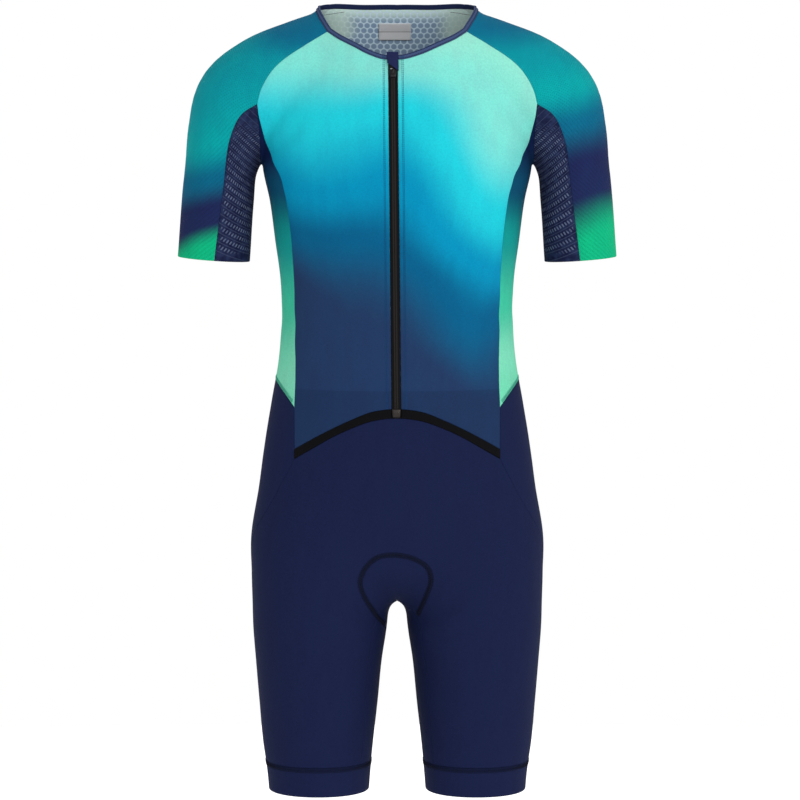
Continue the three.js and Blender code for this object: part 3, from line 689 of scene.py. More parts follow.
def fill(form: FilledForm, lines: tuple[Points, Points, Points, Points], across: float, down: float,
         cuts: str, weave_from: str = "right") -> Patch:
    """Fills the space between four lines with a grid on the form (a Coons patch, then settled).

    Args:
        form: The form.
        lines: Top and bottom, which run across, then left and right, which run down.
        across: The cloth's usual width, in millimetres.
        down: Its usual length.
        cuts: Which sides are cut edges, by the letters t, b, l and r. A capital letter only adds the
            fine lines of one.
        weave_from: The side that the weave is measured from, left or right.

    Returns:
        The patch.
    """
    top, bottom, left, right = lines
    fine = cuts.lower()
    u = edge_places(len(top) - 1, across, "l" in fine, "r" in fine)
    v = edge_places(len(left) - 1, down, "t" in fine, "b" in fine)
    top, bottom = along_steps(top, u), along_steps(bottom, u)
    left, right = along_steps(left, v), along_steps(right, v)
    du, dv = u[None, :, None], v[:, None, None]
    ruled = (1 - dv) * top[None] + dv * bottom[None] + (1 - du) * left[:, None] + du * right[:, None]
    corners = (1 - dv) * ((1 - du) * top[0] + du * top[-1]) + dv * ((1 - du) * bottom[0] + du * bottom[-1])
    grid = ruled - corners
    grid[0], grid[-1], grid[:, 0], grid[:, -1] = top, bottom, left, right
    grid[1:-1, 1:-1] = form.settle(grid[1:-1, 1:-1].reshape(-1, 3)).reshape(len(v) - 2, len(u) - 2, 3)
    rows, columns = np.arange(len(v)), np.arange(len(u))
    rank = np.full(grid.shape[:2], len(EDGE_FALL) - 1)
    orders = {"t": rows[:, None], "b": rows[::-1, None], "l": columns, "r": columns[::-1]}
    for letter, order in orders.items():
        if letter in cuts:
            rank = np.minimum(rank, order)
    sideways = np.linalg.norm(np.diff(grid, axis=1), axis=2).cumsum(axis=1)
    sideways = np.hstack([np.zeros((len(v), 1)), sideways])
    if weave_from == "right":
        sideways = sideways - sideways[:, -1:]
    downward = np.linalg.norm(np.diff(grid, axis=0), axis=2).cumsum(axis=0)
    downward = np.vstack([np.zeros((1, len(u))), downward])
    return Patch(grid, rank, np.stack([sideways, -downward], axis=-1))


def mesh_rows(patch: Patch) -> Patch:
    """Turns the weave of an underarm panel, whose rows fall towards the body and less so near the hem.

    The second part of the weave is the height less the row's rise, which is its slope times the
    distance out from the arm's inner line. Behind that line the rows go on falling.

    Args:
        patch: Half of the panel.

    Returns:
        The same half with its rows turned.
    """
    x, y, z = np.moveaxis(patch.points, -1, 0)
    slope = np.clip(0.36 + 0.0046 * (z - SLEEVE_HEM), 0.36, 0.95)
    height = z + slope * (x - 160) * np.tanh(y / 8)
    return Patch(patch.points, patch.rank, np.stack([patch.weave[..., 0], height], axis=-1))


class Crease(NamedTuple):
    """A soft trough between two points of the front view, bowed sideways, with its size."""

    start: tuple[float, float]
    end: tuple[float, float]
    width: float
    depth: float
    bow: float = 0.0


# Where the cloth gives: at the armpits, the waist's sides, the crotch, the seat and behind the knee.
CREASES = {
    Side.FRONT: tuple(starmap(Crease, (
        ((150, -168), (96, -128), 9, 1.5, 6),
        ((-150, -166), (-104, -120), 8, 1.2, -5),
        ((146, -186), (104, -176), 7, 0.9, 4),
        ((-145, -188), (-98, -182), 8, 1.0, -4),
        ((20, -688), (74, -652), 9, 1.7, -8),
        ((-20, -688), (-82, -648), 10, 1.5, 8),
        ((34, -706), (84, -700), 8, 1.0, -5),
        ((-33, -712), (-76, -716), 8, 0.9, 5),
        ((118, -512), (62, -540), 12, 0.9, 6),
        ((-118, -516), (-70, -552), 12, 0.8, -6),
        ((132, -330), (92, -352), 10, 0.8, 5),
        ((-132, -344), (-88, -360), 10, 0.8, -5),
        ((196, -196), (236, -176), 8, 1.0, -4),
        ((-196, -200), (-238, -184), 8, 1.0, 4),
        ((178, -150), (216, -122), 9, 0.9, -5),
        ((-178, -152), (-214, -120), 9, 0.9, 5),
    ))),
    Side.BACK: tuple(starmap(Crease, (
        ((146, -176), (80, -120), 10, 2.0, 8),
        ((-146, -172), (-88, -128), 9, 1.7, -8),
        ((134, -208), (70, -196), 9, 1.3, 6),
        ((-134, -204), (-76, -188), 9, 1.2, -6),
        ((128, -340), (40, -366), 12, 1.7, 8),
        ((-128, -352), (-52, -372), 12, 1.5, -8),
        ((120, -384), (34, -398), 12, 1.4, 6),
        ((-120, -378), (-26, -404), 12, 1.6, -7),
        ((16, -676), (98, -640), 10, 2.2, -12),
        ((-16, -676), (-92, -646), 10, 2.0, 12),
        ((30, -704), (112, -694), 9, 1.4, -8),
        ((-30, -708), (-104, -700), 9, 1.3, 8),
        ((52, -836), (128, -826), 9, 1.1, -5),
        ((-54, -828), (-126, -838), 9, 1.0, 5),
        ((186, -206), (234, -186), 8, 1.3, -5),
        ((-186, -210), (-236, -192), 8, 1.2, 5),
    ))),
}
RIDGE_SHARE = 0.45
RIDGE_OUT = 1.9


def relief(p: Points) -> Array:
    """Works out how far the creases raise or lower the cloth.

    Each crease is a bell-shaped trough about a bowed line, with a low ridge on both sides, that
    fades out towards its ends.

    Args:
        p: Points on the form.

    Returns:
        Millimetres outward.
    """
    out = np.zeros(len(p))
    for side, crease in [(side, crease) for side, creases in CREASES.items() for crease in creases]:
        start, end = np.array(crease.start), np.array(crease.end)
        run = end - start
        across = np.array([-run[1], run[0]]) / np.hypot(*run)
        flat = p[:, (0, 2)] - start
        s = flat @ run / (run @ run)
        inside = np.clip(s, 0, 1)
        off = flat @ across - crease.bow * 4 * inside * (1 - inside)
        past = (s - inside) * np.hypot(*run)
        far = np.hypot(off, past) / crease.width
        fade = np.sqrt(np.clip(np.sin(np.pi * np.clip(s * 0.9 + 0.05, 0, 1)), 0, 1))
        bell = np.exp(-far * far)
        ridge = np.exp(-((far - RIDGE_OUT) ** 2))
        on_side = 1 / (1 + np.exp(-side.value * p[:, 1] / 8))
        out += crease.depth * fade * on_side * (RIDGE_SHARE * ridge - bell)
    return out


def grid_quads(ids: Array) -> Faces:
    """Joins neighbours in a grid of point numbers, or in a stack of such grids, into quads.

    Args:
        ids: The point numbers, in rows downward and columns across.

    Returns:
        Each cell's four corners, first across and then down.
    """
    corners = [ids[..., :-1, :-1], ids[..., :-1, 1:], ids[..., 1:, 1:], ids[..., 1:, :-1]]
    return np.stack(corners, axis=-1).reshape(-1, 4)


def ring_quads(ids: Array) -> Faces:
    """Returns the quads between rows that each close into a ring."""
    return grid_quads(np.concatenate([ids, ids[..., :1]], axis=-1))


def facing(points: Points, quads: Faces) -> Array:
    """Returns the way each quad faces, as long as twice its area: its diagonals' cross product."""
    p = points[quads]
    return np.cross(p[:, 2] - p[:, 0], p[:, 3] - p[:, 1])


class Skin:
    """One piece of cloth as a welded grid of points, with its cut edges trimmed for the seams."""

    def __init__(self, form: FilledForm, patches: Sequence[Patch], inset: float = SEAM_GAP / 2) -> None:
        """Welds the patches, turns them outward and draws their cut edges in.

        Args:
            form: The form.
            patches: The patches that the piece is cut in.
            inset: How far the cut edges are drawn in.
        """
        points, quads, count = [], [], 0
        for patch in patches:
            quad = grid_quads(np.arange(patch.rank.size).reshape(patch.rank.shape))
            flat = patch.points.reshape(-1, 3)
            if (facing(flat, quad) * form.slope(flat[quad].mean(axis=1))).sum() < 0:
                quad = quad[:, ::-1]
            points.append(flat)
            quads.append(quad + count)
            count += len(flat)
        loose, quad = np.vstack(points), np.vstack(quads)
        cells = np.floor(loose / WELD + WELD_SHIFT).astype(np.int64)
        _, first, same = np.unique(cells, axis=0, return_index=True, return_inverse=True)
        same = same.ravel()
        self.weave = np.vstack([patch.weave.reshape(-1, 2) for patch in patches])[quad]
        self.points = loose[first]
        self.quads = same[quad]
        self.rank = np.full(len(first), len(EDGE_FALL))
        np.minimum.at(self.rank, same, np.concatenate([patch.rank.ravel() for patch in patches]))
        self.open = self._open_edges()
        self._trim(inset)
        self.points = form.settle(self.points)
        self.normals = form.normal(self.points)

    def _open_edges(self) -> Array:
        """Finds the edges with cloth on one side only.

        Returns:
            For each its two points and the quad it belongs to.
        """
        a = self.quads.ravel()
        b = np.roll(self.quads, -1, axis=1).ravel()
        count = len(self.points)
        lone = ~np.isin(a * count + b, b * count + a)
        owner = np.repeat(np.arange(len(self.quads)), 4)
        return np.column_stack([a, b, owner])[lone & (a != b)]

    def _trim(self, inset: float) -> None:
        """Draws the open edges in, each point at right angles to both its edges.

        Args:
            inset: How far.
        """
        a, b, owner = self.open.T
        run = unit(self.points[b] - self.points[a])
        over = self.points[self.quads[owner]].mean(axis=1) - self.points[a]
        inward = unit(over - run * (over * run).sum(axis=1, keepdims=True))
        pull = np.zeros_like(self.points)
        np.add.at(pull, a, inward)
        np.add.at(pull, b, inward)
        square = (pull * pull).sum(axis=1, keepdims=True)
        self.points = self.points + pull * (2 * inset / np.maximum(square, 0.12)) * (square > 0)

    def mirrored(self) -> "Skin":
        """Turns the skin round for the wearer's other side.

        Returns:
            The mirrored skin.
        """
        twin = object.__new__(Skin)
        twin.points = self.points * (-1, 1, 1)
        twin.normals = self.normals * (-1, 1, 1)
        twin.quads = self.quads[:, ::-1]
        twin.weave = (self.weave * (-1, 1))[:, ::-1]
        twin.rank = self.rank
        twin.open = self.open[:, (1, 0, 2)]
        return twin

    def area(self) -> float:
        """Returns the cloth's area in square metres."""
        return float(np.linalg.norm(facing(self.points, self.quads), axis=1).sum() / 2 * MM * MM)


def to_object(name: str, points: Points, faces: Sequence[Faces], weave: Array | None = None,
              inner: Array | None = None) -> Piece:
    """Writes a mesh into Blender.

    Args:
        name: The piece's name.
        points: Its points, in millimetres.
        faces: Arrays of faces, each with its own number of corners.
        weave: For each corner in order, its place in the weave, in millimetres.
        inner: For each face of the first array, whether it has the second material.

    Returns:
        The new object, at the origin.
    """
    mesh = bpy.data.meshes.new(name)
    places = (zip_lean(points) * MM).tolist()
    mesh.from_pydata(places, [], [face for group in faces for face in group.tolist()])
    mesh.polygons.foreach_set("use_smooth", np.ones(len(mesh.polygons), bool))
    if weave is not None:
        layer = mesh.uv_layers.new(name="weave")
        layer.data.foreach_set("uv", (weave.reshape(-1, 2) * MM).astype(np.float32).ravel())
    if inner is not None:
        index = np.zeros(len(mesh.polygons), np.int32)
        index[:len(inner)] = inner
        mesh.polygons.foreach_set("material_index", index)
    mesh.update()
    made = bpy.data.objects.new(name, mesh)
    bpy.context.scene.collection.objects.link(made)
    return made


def cloth_object(name: str, skin: Skin, wall: float = CLOTH, lift: float = 0.0) -> Piece:
    """Gives a skin its thickness and its creases, with the cut edges rolled in a little.

    Args:
        name: The piece's name.
        skin: The cloth's outer side before the creases.
        wall: The cloth's thickness.
        lift: How far the outer side is raised off the form.

    Returns:
        The new object: outer faces first, then inner faces, then the edges.
    """
    height = relief(skin.points)
    fall = np.array([*EDGE_FALL, 0.0])[skin.rank]
    outer = skin.points + skin.normals * (lift + height - fall)[:, None]
    inner = skin.points + skin.normals * (lift - wall + height + fall * 0.5)[:, None]
    count = len(outer)
    a, b, owner = skin.open.T
    rims = np.column_stack([b, a, a + count, b + count])
    shell = np.vstack([skin.quads, (skin.quads + count)[:, ::-1]])
    weave = np.vstack([skin.weave, skin.weave[:, ::-1], skin.weave[owner]])
    inside = np.arange(len(shell)) >= len(skin.quads)
    return to_object(name, np.vstack([outer, inner]), [shell, rims], weave, inside)


def zip_lean(points: Points) -> Points:
    """Moves points of the front to the wearer's right, as the zip leans on the worn suit.

    The move grows evenly from the waist to the neck, and fades as a bell curve to the sides and
    towards the back.

    Args:
        points: The points, in millimetres.

    Returns:
        The moved points.
    """
    x, y, z = np.array(points, float).T
    rise = np.clip((z - TAPE_TOP) / (ZIP_TOP - TAPE_TOP), 0, 1.05)
    below = np.clip((z - TAPE_TOP + 60) / 60, 0, 1)
    front = np.clip(-y / 30, 0, 1)
    shift = (LEAN_FOOT * below + (LEAN_TOP - LEAN_FOOT) * rise) * np.exp(-(x / 40) ** 2) * front
    return np.column_stack([x - shift, y, z])


class Cut(NamedTuple):
    """The flat size a piece of cloth was cut to, before it was stretched over a body, in metres."""

    width: float
    length: float
    area: float


def srgb(code: str, depth: float = DYE_DEPTH) -> tuple[float, float, float, float]:
    """Turns the code of a colour as it shows in studio light into linear light off the cloth itself.

    Args:
        code: The colour's six letters.
        depth: The share of the light that the cloth gives back.

    Returns:
        Red, green, blue and 1.
    """
    parts = [int(code[i:i + 2], 16) / 255 for i in (0, 2, 4)]
    red, green, blue = (depth * (c / 12.92 if c <= 0.04045 else ((c + 0.055) / 1.055) ** 2.4) for c in parts)
    return red, green, blue, 1.0


Socket = bpy.types.NodeSocket
Number = Socket | float


class Dye:
    """A small builder of one material's nodes."""

    def __init__(self, name: str) -> None:
        """Starts a material.

        Args:
            name: The material's name.
        """
        self.material = bpy.data.materials.new(name)
        self.material.use_nodes = True
        self.tree = self.material.node_tree
        self.tree.nodes.clear()
        self.place = self.add("TexCoord").outputs["Object"]

    def add(self, kind: str, inputs: dict[Any, Any] | None = None, **settings: Any) -> bpy.types.Node:
        """Adds a node, with its inputs linked or set.

        Args:
            kind: The node's type after ShaderNode.
            inputs: Sockets or values by input name or number. None leaves an input as it is.
            **settings: The node's own properties.

        Returns:
            The node.
        """
        node = self.tree.nodes.new("ShaderNode" + kind)
        for key, value in settings.items():
            setattr(node, key, value)
        for key, value in (inputs or {}).items():
            if isinstance(value, Socket):
                self.tree.links.new(value, node.inputs[key])
            elif value is not None:
                node.inputs[key].default_value = value
        return node

    def math(self, operation: str, a: Number, b: Number = 0.0, c: Number = 0.0) -> Socket:
        """Returns a sum, product or the like."""
        return self.add("Math", {0: a, 1: b, 2: c}, operation=operation).outputs[0]

    def times(self, a: Number, b: Number) -> Socket:
        """Returns the product of two numbers."""
        return self.math("MULTIPLY", a, b)

    def line(self, a: Number, b: Number, c: Number) -> Socket:
        """Returns a times b, plus c."""
        return self.math("MULTIPLY_ADD", a, b, c)

    def vector(self, operation: str, a: Any, b: Any = (0, 0, 0)) -> Socket:
        """Returns a sum, product or the like of vectors."""
        return self.add("VectorMath", {0: a, 1: b}, operation=operation).outputs[0]

    def length(self, a: Any) -> Socket:
        """Returns a vector's length."""
        return self.add("VectorMath", {0: a}, operation="LENGTH").outputs["Value"]

    def parts(self, a: Any) -> list[Socket]:
        """Returns a vector's three parts."""
        return list(self.add("SeparateXYZ", {0: a}).outputs)

    def weave(self) -> Socket:
        """Returns the place in the weave, in metres across and along the cloth."""
        return self.add("UVMap", uv_map="weave").outputs[0]

    def ramp(self, factor: Number, stops: Sequence[tuple[float, tuple]]) -> Socket:
        """Reads a colour from stops along a scale.

        Args:
            factor: The place on the scale.
            stops: Places from 0 to 1, each with its colour.

        Returns:
            The colour.
        """
        node = self.add("ValToRGB", {0: factor})
        elements = node.color_ramp.elements
        node.color_ramp.interpolation = "EASE"
        elements[0].position, elements[0].color = stops[0]
        elements[1].position, elements[1].color = stops[-1]
        for position, colour in stops[1:-1]:
            element = elements.new(position)
            element.color = colour
        return node.outputs[0]

    def between(self, value: Number, low: float, high: float) -> Socket:
        """Returns 0 below low, 1 above high, and a smooth rise between."""
        return self.add("MapRange", {0: value, 1: low, 2: high, 3: 0.0, 4: 1.0},
                        interpolation_type="SMOOTHSTEP").outputs[0]

    def mix(self, factor: Number, a: Any, b: Any, blend: str = "MIX") -> Socket:
        """Returns two colours mixed."""
        node = self.add("Mix", {0: factor, 6: a, 7: b}, data_type="RGBA", blend_type=blend)
        return node.outputs[2]

    def noise(self, scale: float, detail: float = 2.0, where: Any = None, rough: float = 0.5) -> Socket:
        """Returns noise about 0.5, `scale` cells to a metre."""
        node = self.add("TexNoise", {"Vector": where or self.place, "Scale": scale, "Detail": detail,
                                     "Roughness": rough})
        return node.outputs["Fac"]

    def stain(self, colour: Any, where: Number, strength: float,
              tint: Triple) -> Socket:
        """Returns a colour toned by a tint where a pattern is 1, and less where it is less."""
        return self.mix(self.times(where, strength), colour, (*tint, 1.0), "MULTIPLY")

    def band(self, value: Number, rise: tuple[float, float], fall: tuple[float, float]) -> Socket:
        """Returns 1 between two soft edges, each given from where it is 0 to where it is 1."""
        return self.times(self.between(value, *rise), self.between(value, *fall))

    def bump(self, height: Socket, distance: float, strength: float = 1.0,
             normal: Socket | None = None) -> Socket:
        """Returns the surface's direction over a relief, whose full height is in metres."""
        inputs = {"Height": height, "Distance": distance, "Strength": strength, "Normal": normal}
        return self.add("Bump", inputs).outputs[0]

    def finish(self, colour: Any, roughness: Number, normal: Socket | None = None,
               **more: Any) -> Material:
        """Closes the material with its surface shader.

        Args:
            colour: The base colour.
            roughness: The roughness.
            normal: The surface's direction.
            **more: Other sockets by name, with _ for a space.

        Returns:
            The material.
        """
        inputs = {"Base Color": colour, "Roughness": roughness, "Normal": normal}
        inputs.update({key.replace("_", " "): value for key, value in more.items()})
        shader = self.add("BsdfPrincipled", inputs)
        output = self.add("OutputMaterial")
        self.tree.links.new(shader.outputs[0], output.inputs[0])
        return self.material

    def hex_dots(self, where: Socket, pitch: float) -> Socket:
        """Works out the distance from the nearest point of a honeycomb of points.

        The honeycomb is two square-cornered lattices, one pitch by root three pitches, set half a cell
        apart both ways. The nearest point is the nearer of the two lattices' own.

        Args:
            where: The place in the weave.
            pitch: The distance between two points, in metres.

        Returns:
            The distance, in pitches.
        """
        tall = math.sqrt(3)
        scaled = self.vector("MULTIPLY", where, (1 / pitch, 1 / pitch / tall, 0))
        found = []
        for shift in (0.0, 0.5):
            inside = self.vector("FRACTION", self.vector("ADD", scaled, (shift, shift, 0)))
            centred = self.vector("SUBTRACT", inside, (0.5, 0.5, 0))
            found.append(self.length(self.vector("MULTIPLY", centred, (1, tall, 0))))
        return self.math("MINIMUM", *found)

    def knit(self, where: Socket, pitch: float) -> Socket:
        """Returns the height of a fine knit: rows of stitches, each a pair of slanting legs."""
        across, along, _ = self.parts(where)
        wale = self.math("PINGPONG", self.math("DIVIDE", across, pitch), 0.5)
        return self.wave(self.math("ADD", self.math("DIVIDE", along, pitch * 0.8), wale), 1.0)

    def wave(self, value: Socket, length: float) -> Socket:
        """Returns a wave between 0 and 1, of a given length."""
        return self.line(self.math("SINE", self.times(value, math.tau / length)), 0.5, 0.5)


@dataclass(frozen=True)
class Fade:
    """A plain fade of dyes down the cloth: where it starts and ends, how it leans and waves.

    Below `layer_top` a second layer of cloth behind it makes it a little darker.
    """

    top: float
    foot: float
    stops: tuple[tuple[float, str], ...]
    lean: float = 0.0
    wave: float = 0.0
    wave_scale: float = 5.0
    shift: Triple = (0.0, 0.0, 0.0)
    layer_top: float = -9.0
    layer_edge: float = 0.0006
    layer_depth: float = 0.22

    def colour(self, dye: Dye) -> Socket:
        """Works out the dye: a scale along the height, tilted sideways and bent by slow noise.

        Args:
            dye: The material's builder.

        Returns:
            The colour.
        """
        x, _, z = dye.parts(dye.place)
        scale = 1 / (self.foot - self.top)
        level = dye.line(x, self.lean, dye.line(z, scale, -self.top * scale))
        slow = dye.noise(self.wave_scale, 0.6, dye.vector("ADD", dye.place, self.shift))
        level = dye.math("ADD", level, dye.times(dye.math("SUBTRACT", slow, 0.5), self.wave))
        colour = dye.ramp(level, [(at, srgb(code)) for at, code in self.stops])
        layer = dye.between(z, self.layer_top + self.layer_edge, self.layer_top - self.layer_edge)
        return dye.stain(colour, layer, self.layer_depth, (0.2, 0.25, 0.3))


NAVY = "182145"
SLATE = "223a61"
MINT = "93e8d3"
AZURE = "0093bd"
TEAL_DEEP = "015078"

FRONT_FADE = Fade(-0.045, -0.470, (
    (0.0, MINT), (0.17, "7fe3d6"), (0.33, "1fcfdd"), (0.47, AZURE), (0.60, "04618c"), (0.74, SLATE),
    (1.0, SLATE),
), lean=-0.75, wave=0.62, wave_scale=4.2, shift=(0.31, 0.0, 0.17), layer_top=-0.427)
BACK_FADE = Fade(0.0, -0.440, (
    (0.0, TEAL_DEEP), (0.2, AZURE), (0.38, "20cfd6"), (0.56, MINT), (0.8, "34b8bd"), (1.0, "1c5a86"),
), lean=0.5, wave=0.55, wave_scale=4.0, shift=(1.7, 0.4, 0.9))
SLEEVE_FADE = Fade(-0.005, -0.262, (
    (0.0, "0a6f92"), (0.2, "069ba6"), (0.42, "04a8aa"), (0.62, "086a8c"), (0.78, "1f2a57"),
    (0.88, "1f2c58"), (1.0, "0dbd84"),
), lean=0.35, wave=0.55, shift=(0.6, 2.1, 0.2))
# The side strip's fade starts dark navy at the top: partly the print, partly painted shadow under the arm.
SIDE_FADE_WITH_ARMPIT_SHADE = Fade(-0.165, -0.445, (
    (0.0, "10204a"), (0.14, "0b4d6e"), (0.34, "109e98"), (0.6, "3fc9a4"), (0.85, "7fe0bd"), (1.0, "74ddb6"),
), lean=0.3, wave=0.28, wave_scale=7.0, shift=(0.2, 0.2, 3.1))


@dataclass(frozen=True)
class Knit:
    """The suit's smooth compression knit, printed with a fade or dyed in one colour."""

    name: str
    fade: Fade | None = None
    code: str = NAVY
    holes: bool = False
    pitch: float = 0.0012
    hole_pitch: float = 0.0029

    def material(self) -> Material:
        """Returns the material: mottled yarn over the dye, fine stitches and slow unevenness."""
        dye = Dye(self.name)
        colour = self.fade.colour(dye) if self.fade else srgb(self.code)
        mottle = dye.noise(560, 3, rough=0.7)
        mottling = 0.28 if self.fade else 0.42
        colour = dye.stain(colour, dye.between(mottle, 0.35, 0.7), mottling, (0.5, 0.52, 0.6))
        streak = dye.noise(70, 2, dye.vector("MULTIPLY", dye.place, (1, 1, 0.3)))
        colour = dye.stain(colour, dye.between(streak, 0.35, 0.65), 0.22, (1.1, 0.72, 0.82))
        where = dye.weave()
        stitches = dye.knit(where, self.pitch)
        colour = dye.stain(colour, stitches, 0.25, (1.5, 1.45, 1.35))
        normal = dye.bump(dye.line(stitches, 0.4, dye.times(mottle, 0.6)), 0.00035, 0.55)
        if self.holes:
            hole = dye.between(dye.hex_dots(where, self.hole_pitch), 0.30, 0.16)
            colour = dye.stain(colour, hole, 0.24, (0.2, 0.22, 0.34))
            normal = dye.bump(dye.math("SUBTRACT", 1.0, hole), 0.0005, 0.6, normal)
        return dye.finish(colour, 0.8, normal, Specular_IOR_Level=0.04)


@dataclass(frozen=True)
class DottedLining:
    """The inner face of the back: a pale knit with a honeycomb of grey dots."""

    pitch: float = 0.0078

    def material(self) -> Material:
        """Returns the material: dots with lighter rings on a ground that turns green to the sides."""
        dye = Dye("dotted_lining")
        where = dye.weave()
        far = dye.hex_dots(where, self.pitch)
        x, _, z = dye.parts(dye.place)
        depth = dye.math("MAXIMUM", dye.line(z, -1.0, -0.03), 0.0)
        outward = dye.between(dye.line(depth, -1.4, dye.math("ABSOLUTE", x)), 0.040, 0.064)
        edge = dye.math("MAXIMUM", outward, dye.between(z, -0.018, -0.004))
        # The lining's colours are given at the lifted depth: painted light against the shade inside the
        # back.
        middle, side, dark, pale, halo = (
            srgb(code, LINING_DEPTH_LIFTED_FOR_SHADE) for code in ("d2eafa", "dcf5ec", "8fa9c6", "d4efe8", "f2ffff"))
        ring = dye.between(far, 0.36, 0.47)
        colour = dye.mix(ring, dye.mix(edge, dark, pale), dye.mix(outward, middle, side))
        colour = dye.mix(dye.times(dye.between(far, 0.49, 0.55), 0.5), colour, halo)
        colour = dye.stain(colour, dye.noise(1100, 2), 0.25, (0.7, 0.74, 0.76))
        height = dye.line(ring, -0.6, dye.knit(where, 0.0012))
        return dye.finish(colour, 0.85, dye.bump(height, 0.0003, 0.5), Specular_IOR_Level=0.1)


@dataclass(frozen=True)
class MeshKnit:
    """The open underarm knit: rows of slanting air slots with a thin ridge between them."""

    row: float = 0.0090
    slot: float = 0.0052
    lean: float = 0.75

    def material(self) -> Material:
        """Returns the material: the weave's second part counts the rows, and slots lean to the body."""
        dye = Dye("open_mesh_knit")
        across, along, _ = dye.parts(dye.weave())
        _, _, z = dye.parts(dye.place)
        row = dye.math("FRACT", dye.math("DIVIDE", along, self.row))
        inward = dye.math("ABSOLUTE", across)
        step = dye.math("FRACT", dye.math("DIVIDE", dye.line(z, -self.lean, inward), self.slot))
        slot = dye.band(step, (0.06, 0.18), (0.62, 0.50))
        for share in (dye.band(row, (0.05, 0.16), (0.60, 0.48)), dye.between(dye.noise(260, 2), 0.15, 0.5),
                      dye.band(z, (-0.125, -0.15), (-0.278, -0.272)), dye.between(inward, 0.0025, 0.0045)):
            slot = dye.times(slot, share)
        ridge = dye.band(row, (0.72, 0.79), (0.90, 0.83))
        cloth = dye.mix(dye.between(dye.noise(160, 3), 0.35, 0.7), srgb("181e3d"), srgb("283255"))
        colour = dye.mix(dye.times(ridge, 0.45), cloth, srgb("4c5676"))
        worn = dye.between(dye.noise(45, 2), 0.3, 0.7)
        colour = dye.mix(slot, colour, dye.mix(worn, srgb("4b5675"), srgb("69738f")))
        normal = dye.bump(dye.line(slot, 0.8, dye.times(ridge, 0.9)), 0.0006, 0.8)
        return dye.finish(colour, 0.88, normal, Specular_IOR_Level=0.04)


@dataclass(frozen=True)
class WovenTape:
    """A woven tape or binding in one colour, with ribs across or along it."""

    name: str
    code: str
    rib: float
    along: bool = False
    contrast: float = 0.5
    line: float | None = None
    depth: float = DYE_DEPTH

    def material(self) -> Material:
        """Returns the material: ribs with yarn noise in them."""
        dye = Dye(self.name)
        across, run, _ = dye.parts(dye.weave())
        way, other = (across, run) if self.along else (run, across)
        rib = dye.wave(way, self.rib)
        base = srgb(self.code, self.depth)
        dark = tuple(c * (1 - self.contrast) for c in base[:3]) + (1.0,)
        colour = dye.stain(dye.mix(rib, dark, base), dye.noise(700, 2), 0.3, (0.6, 0.6, 0.65))
        if self.line is not None:
            off = dye.math("ABSOLUTE", dye.math("SUBTRACT", run, self.line))
            colour = dye.stain(colour, dye.between(off, 0.0005, 0.0002), 1.0, (0.35, 0.36, 0.38))
        height = dye.line(dye.wave(other, self.rib * 0.8), 0.24, rib)
        return dye.finish(colour, 0.72, dye.bump(height, 0.0003, 0.7), Specular_IOR_Level=0.05)


@dataclass(frozen=True)
class ZipWeave:
    """The zip: black tape with fine wales, and a browner strip along its middle with teeth marks."""

    wale: float = 0.0008
    tooth: float = 0.0015

    def material(self) -> Material:
        """Returns the material, made from the place across and along the zip."""
        dye = Dye("zip_tape_weave")
        across, run, _ = dye.parts(dye.weave())
        off = dye.math("ABSOLUTE", across)
        wale, tooth = dye.wave(across, self.wale), dye.wave(run, self.tooth)
        tape = dye.mix(wale, srgb("040406"), srgb("0c0d11"))
        strip = dye.mix(dye.times(tooth, 0.5), srgb("2b2625"), srgb("181616"))
        strip = dye.stain(strip, dye.noise(500, 3), 0.5, (0.5, 0.5, 0.5))
        colour = dye.mix(dye.between(off, 0.0024, 0.0019), tape, strip)
        colour = dye.mix(dye.between(off, 0.00045, 0.0001), colour, srgb("0b0b0d"))
        normal = dye.bump(dye.line(tooth, 0.25, wale), 0.0003, 0.6)
        return dye.finish(colour, 0.6, normal, Specular_IOR_Level=0.07)


@dataclass(frozen=True)
class PlainFinish:
    """A fitting's or thread's finish: one colour with slight wear and grain."""

    name: str
    code: str
    roughness: float
    metallic: float = 0.0
    grain: float = 900.0
    coat: float = 0.0

    def material(self) -> Material:
        """Returns the material, its roughness and colour moved a little by the grain."""
        dye = Dye(self.name)
        grain = dye.noise(self.grain, 3)
        colour = dye.stain(srgb(self.code), grain, 0.35, (0.55, 0.55, 0.58))
        return dye.finish(colour, dye.line(grain, 0.2, self.roughness - 0.1), dye.bump(grain, 0.00012, 0.5),
                          Metallic=self.metallic, Coat_Weight=self.coat, Specular_IOR_Level=0.1)


@dataclass
class Wardrobe:
    """The finished pieces' materials, each made once."""

    materials: dict[Any, Material] = field(default_factory=dict)

    def finish(self, maker: Any) -> Material:
        """Returns a finish's material, made once."""
        if maker not in self.materials:
            self.materials[maker] = maker.material()
        return self.materials[maker]

    def hang(self, piece: Piece, slot: str, finishes: Sequence[Any],
             nodes: Sequence[str] = ()) -> None:
        """Gives a piece its materials, its body, its slot and the solids it stands for.

        Args:
            piece: The piece.
            slot: Not used.
            finishes: Its finishes in order.
            nodes: The solids that it replaces.
        """
        for maker in finishes:
            piece.data.materials.append(self.finish(maker))
        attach(piece, "root")
        if nodes:
            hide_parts(*nodes)
        log.info("%s: %d faces", piece.name, len(piece.data.polygons))


class Panel(NamedTuple):
    """A kind of cloth panel: its slot, outer and inner finish, flat cut, wall and lift."""

    slot: str
    outer: Any
    inner: Any
    cut: Cut
    wall: float = CLOTH
    lift: float = 0.0


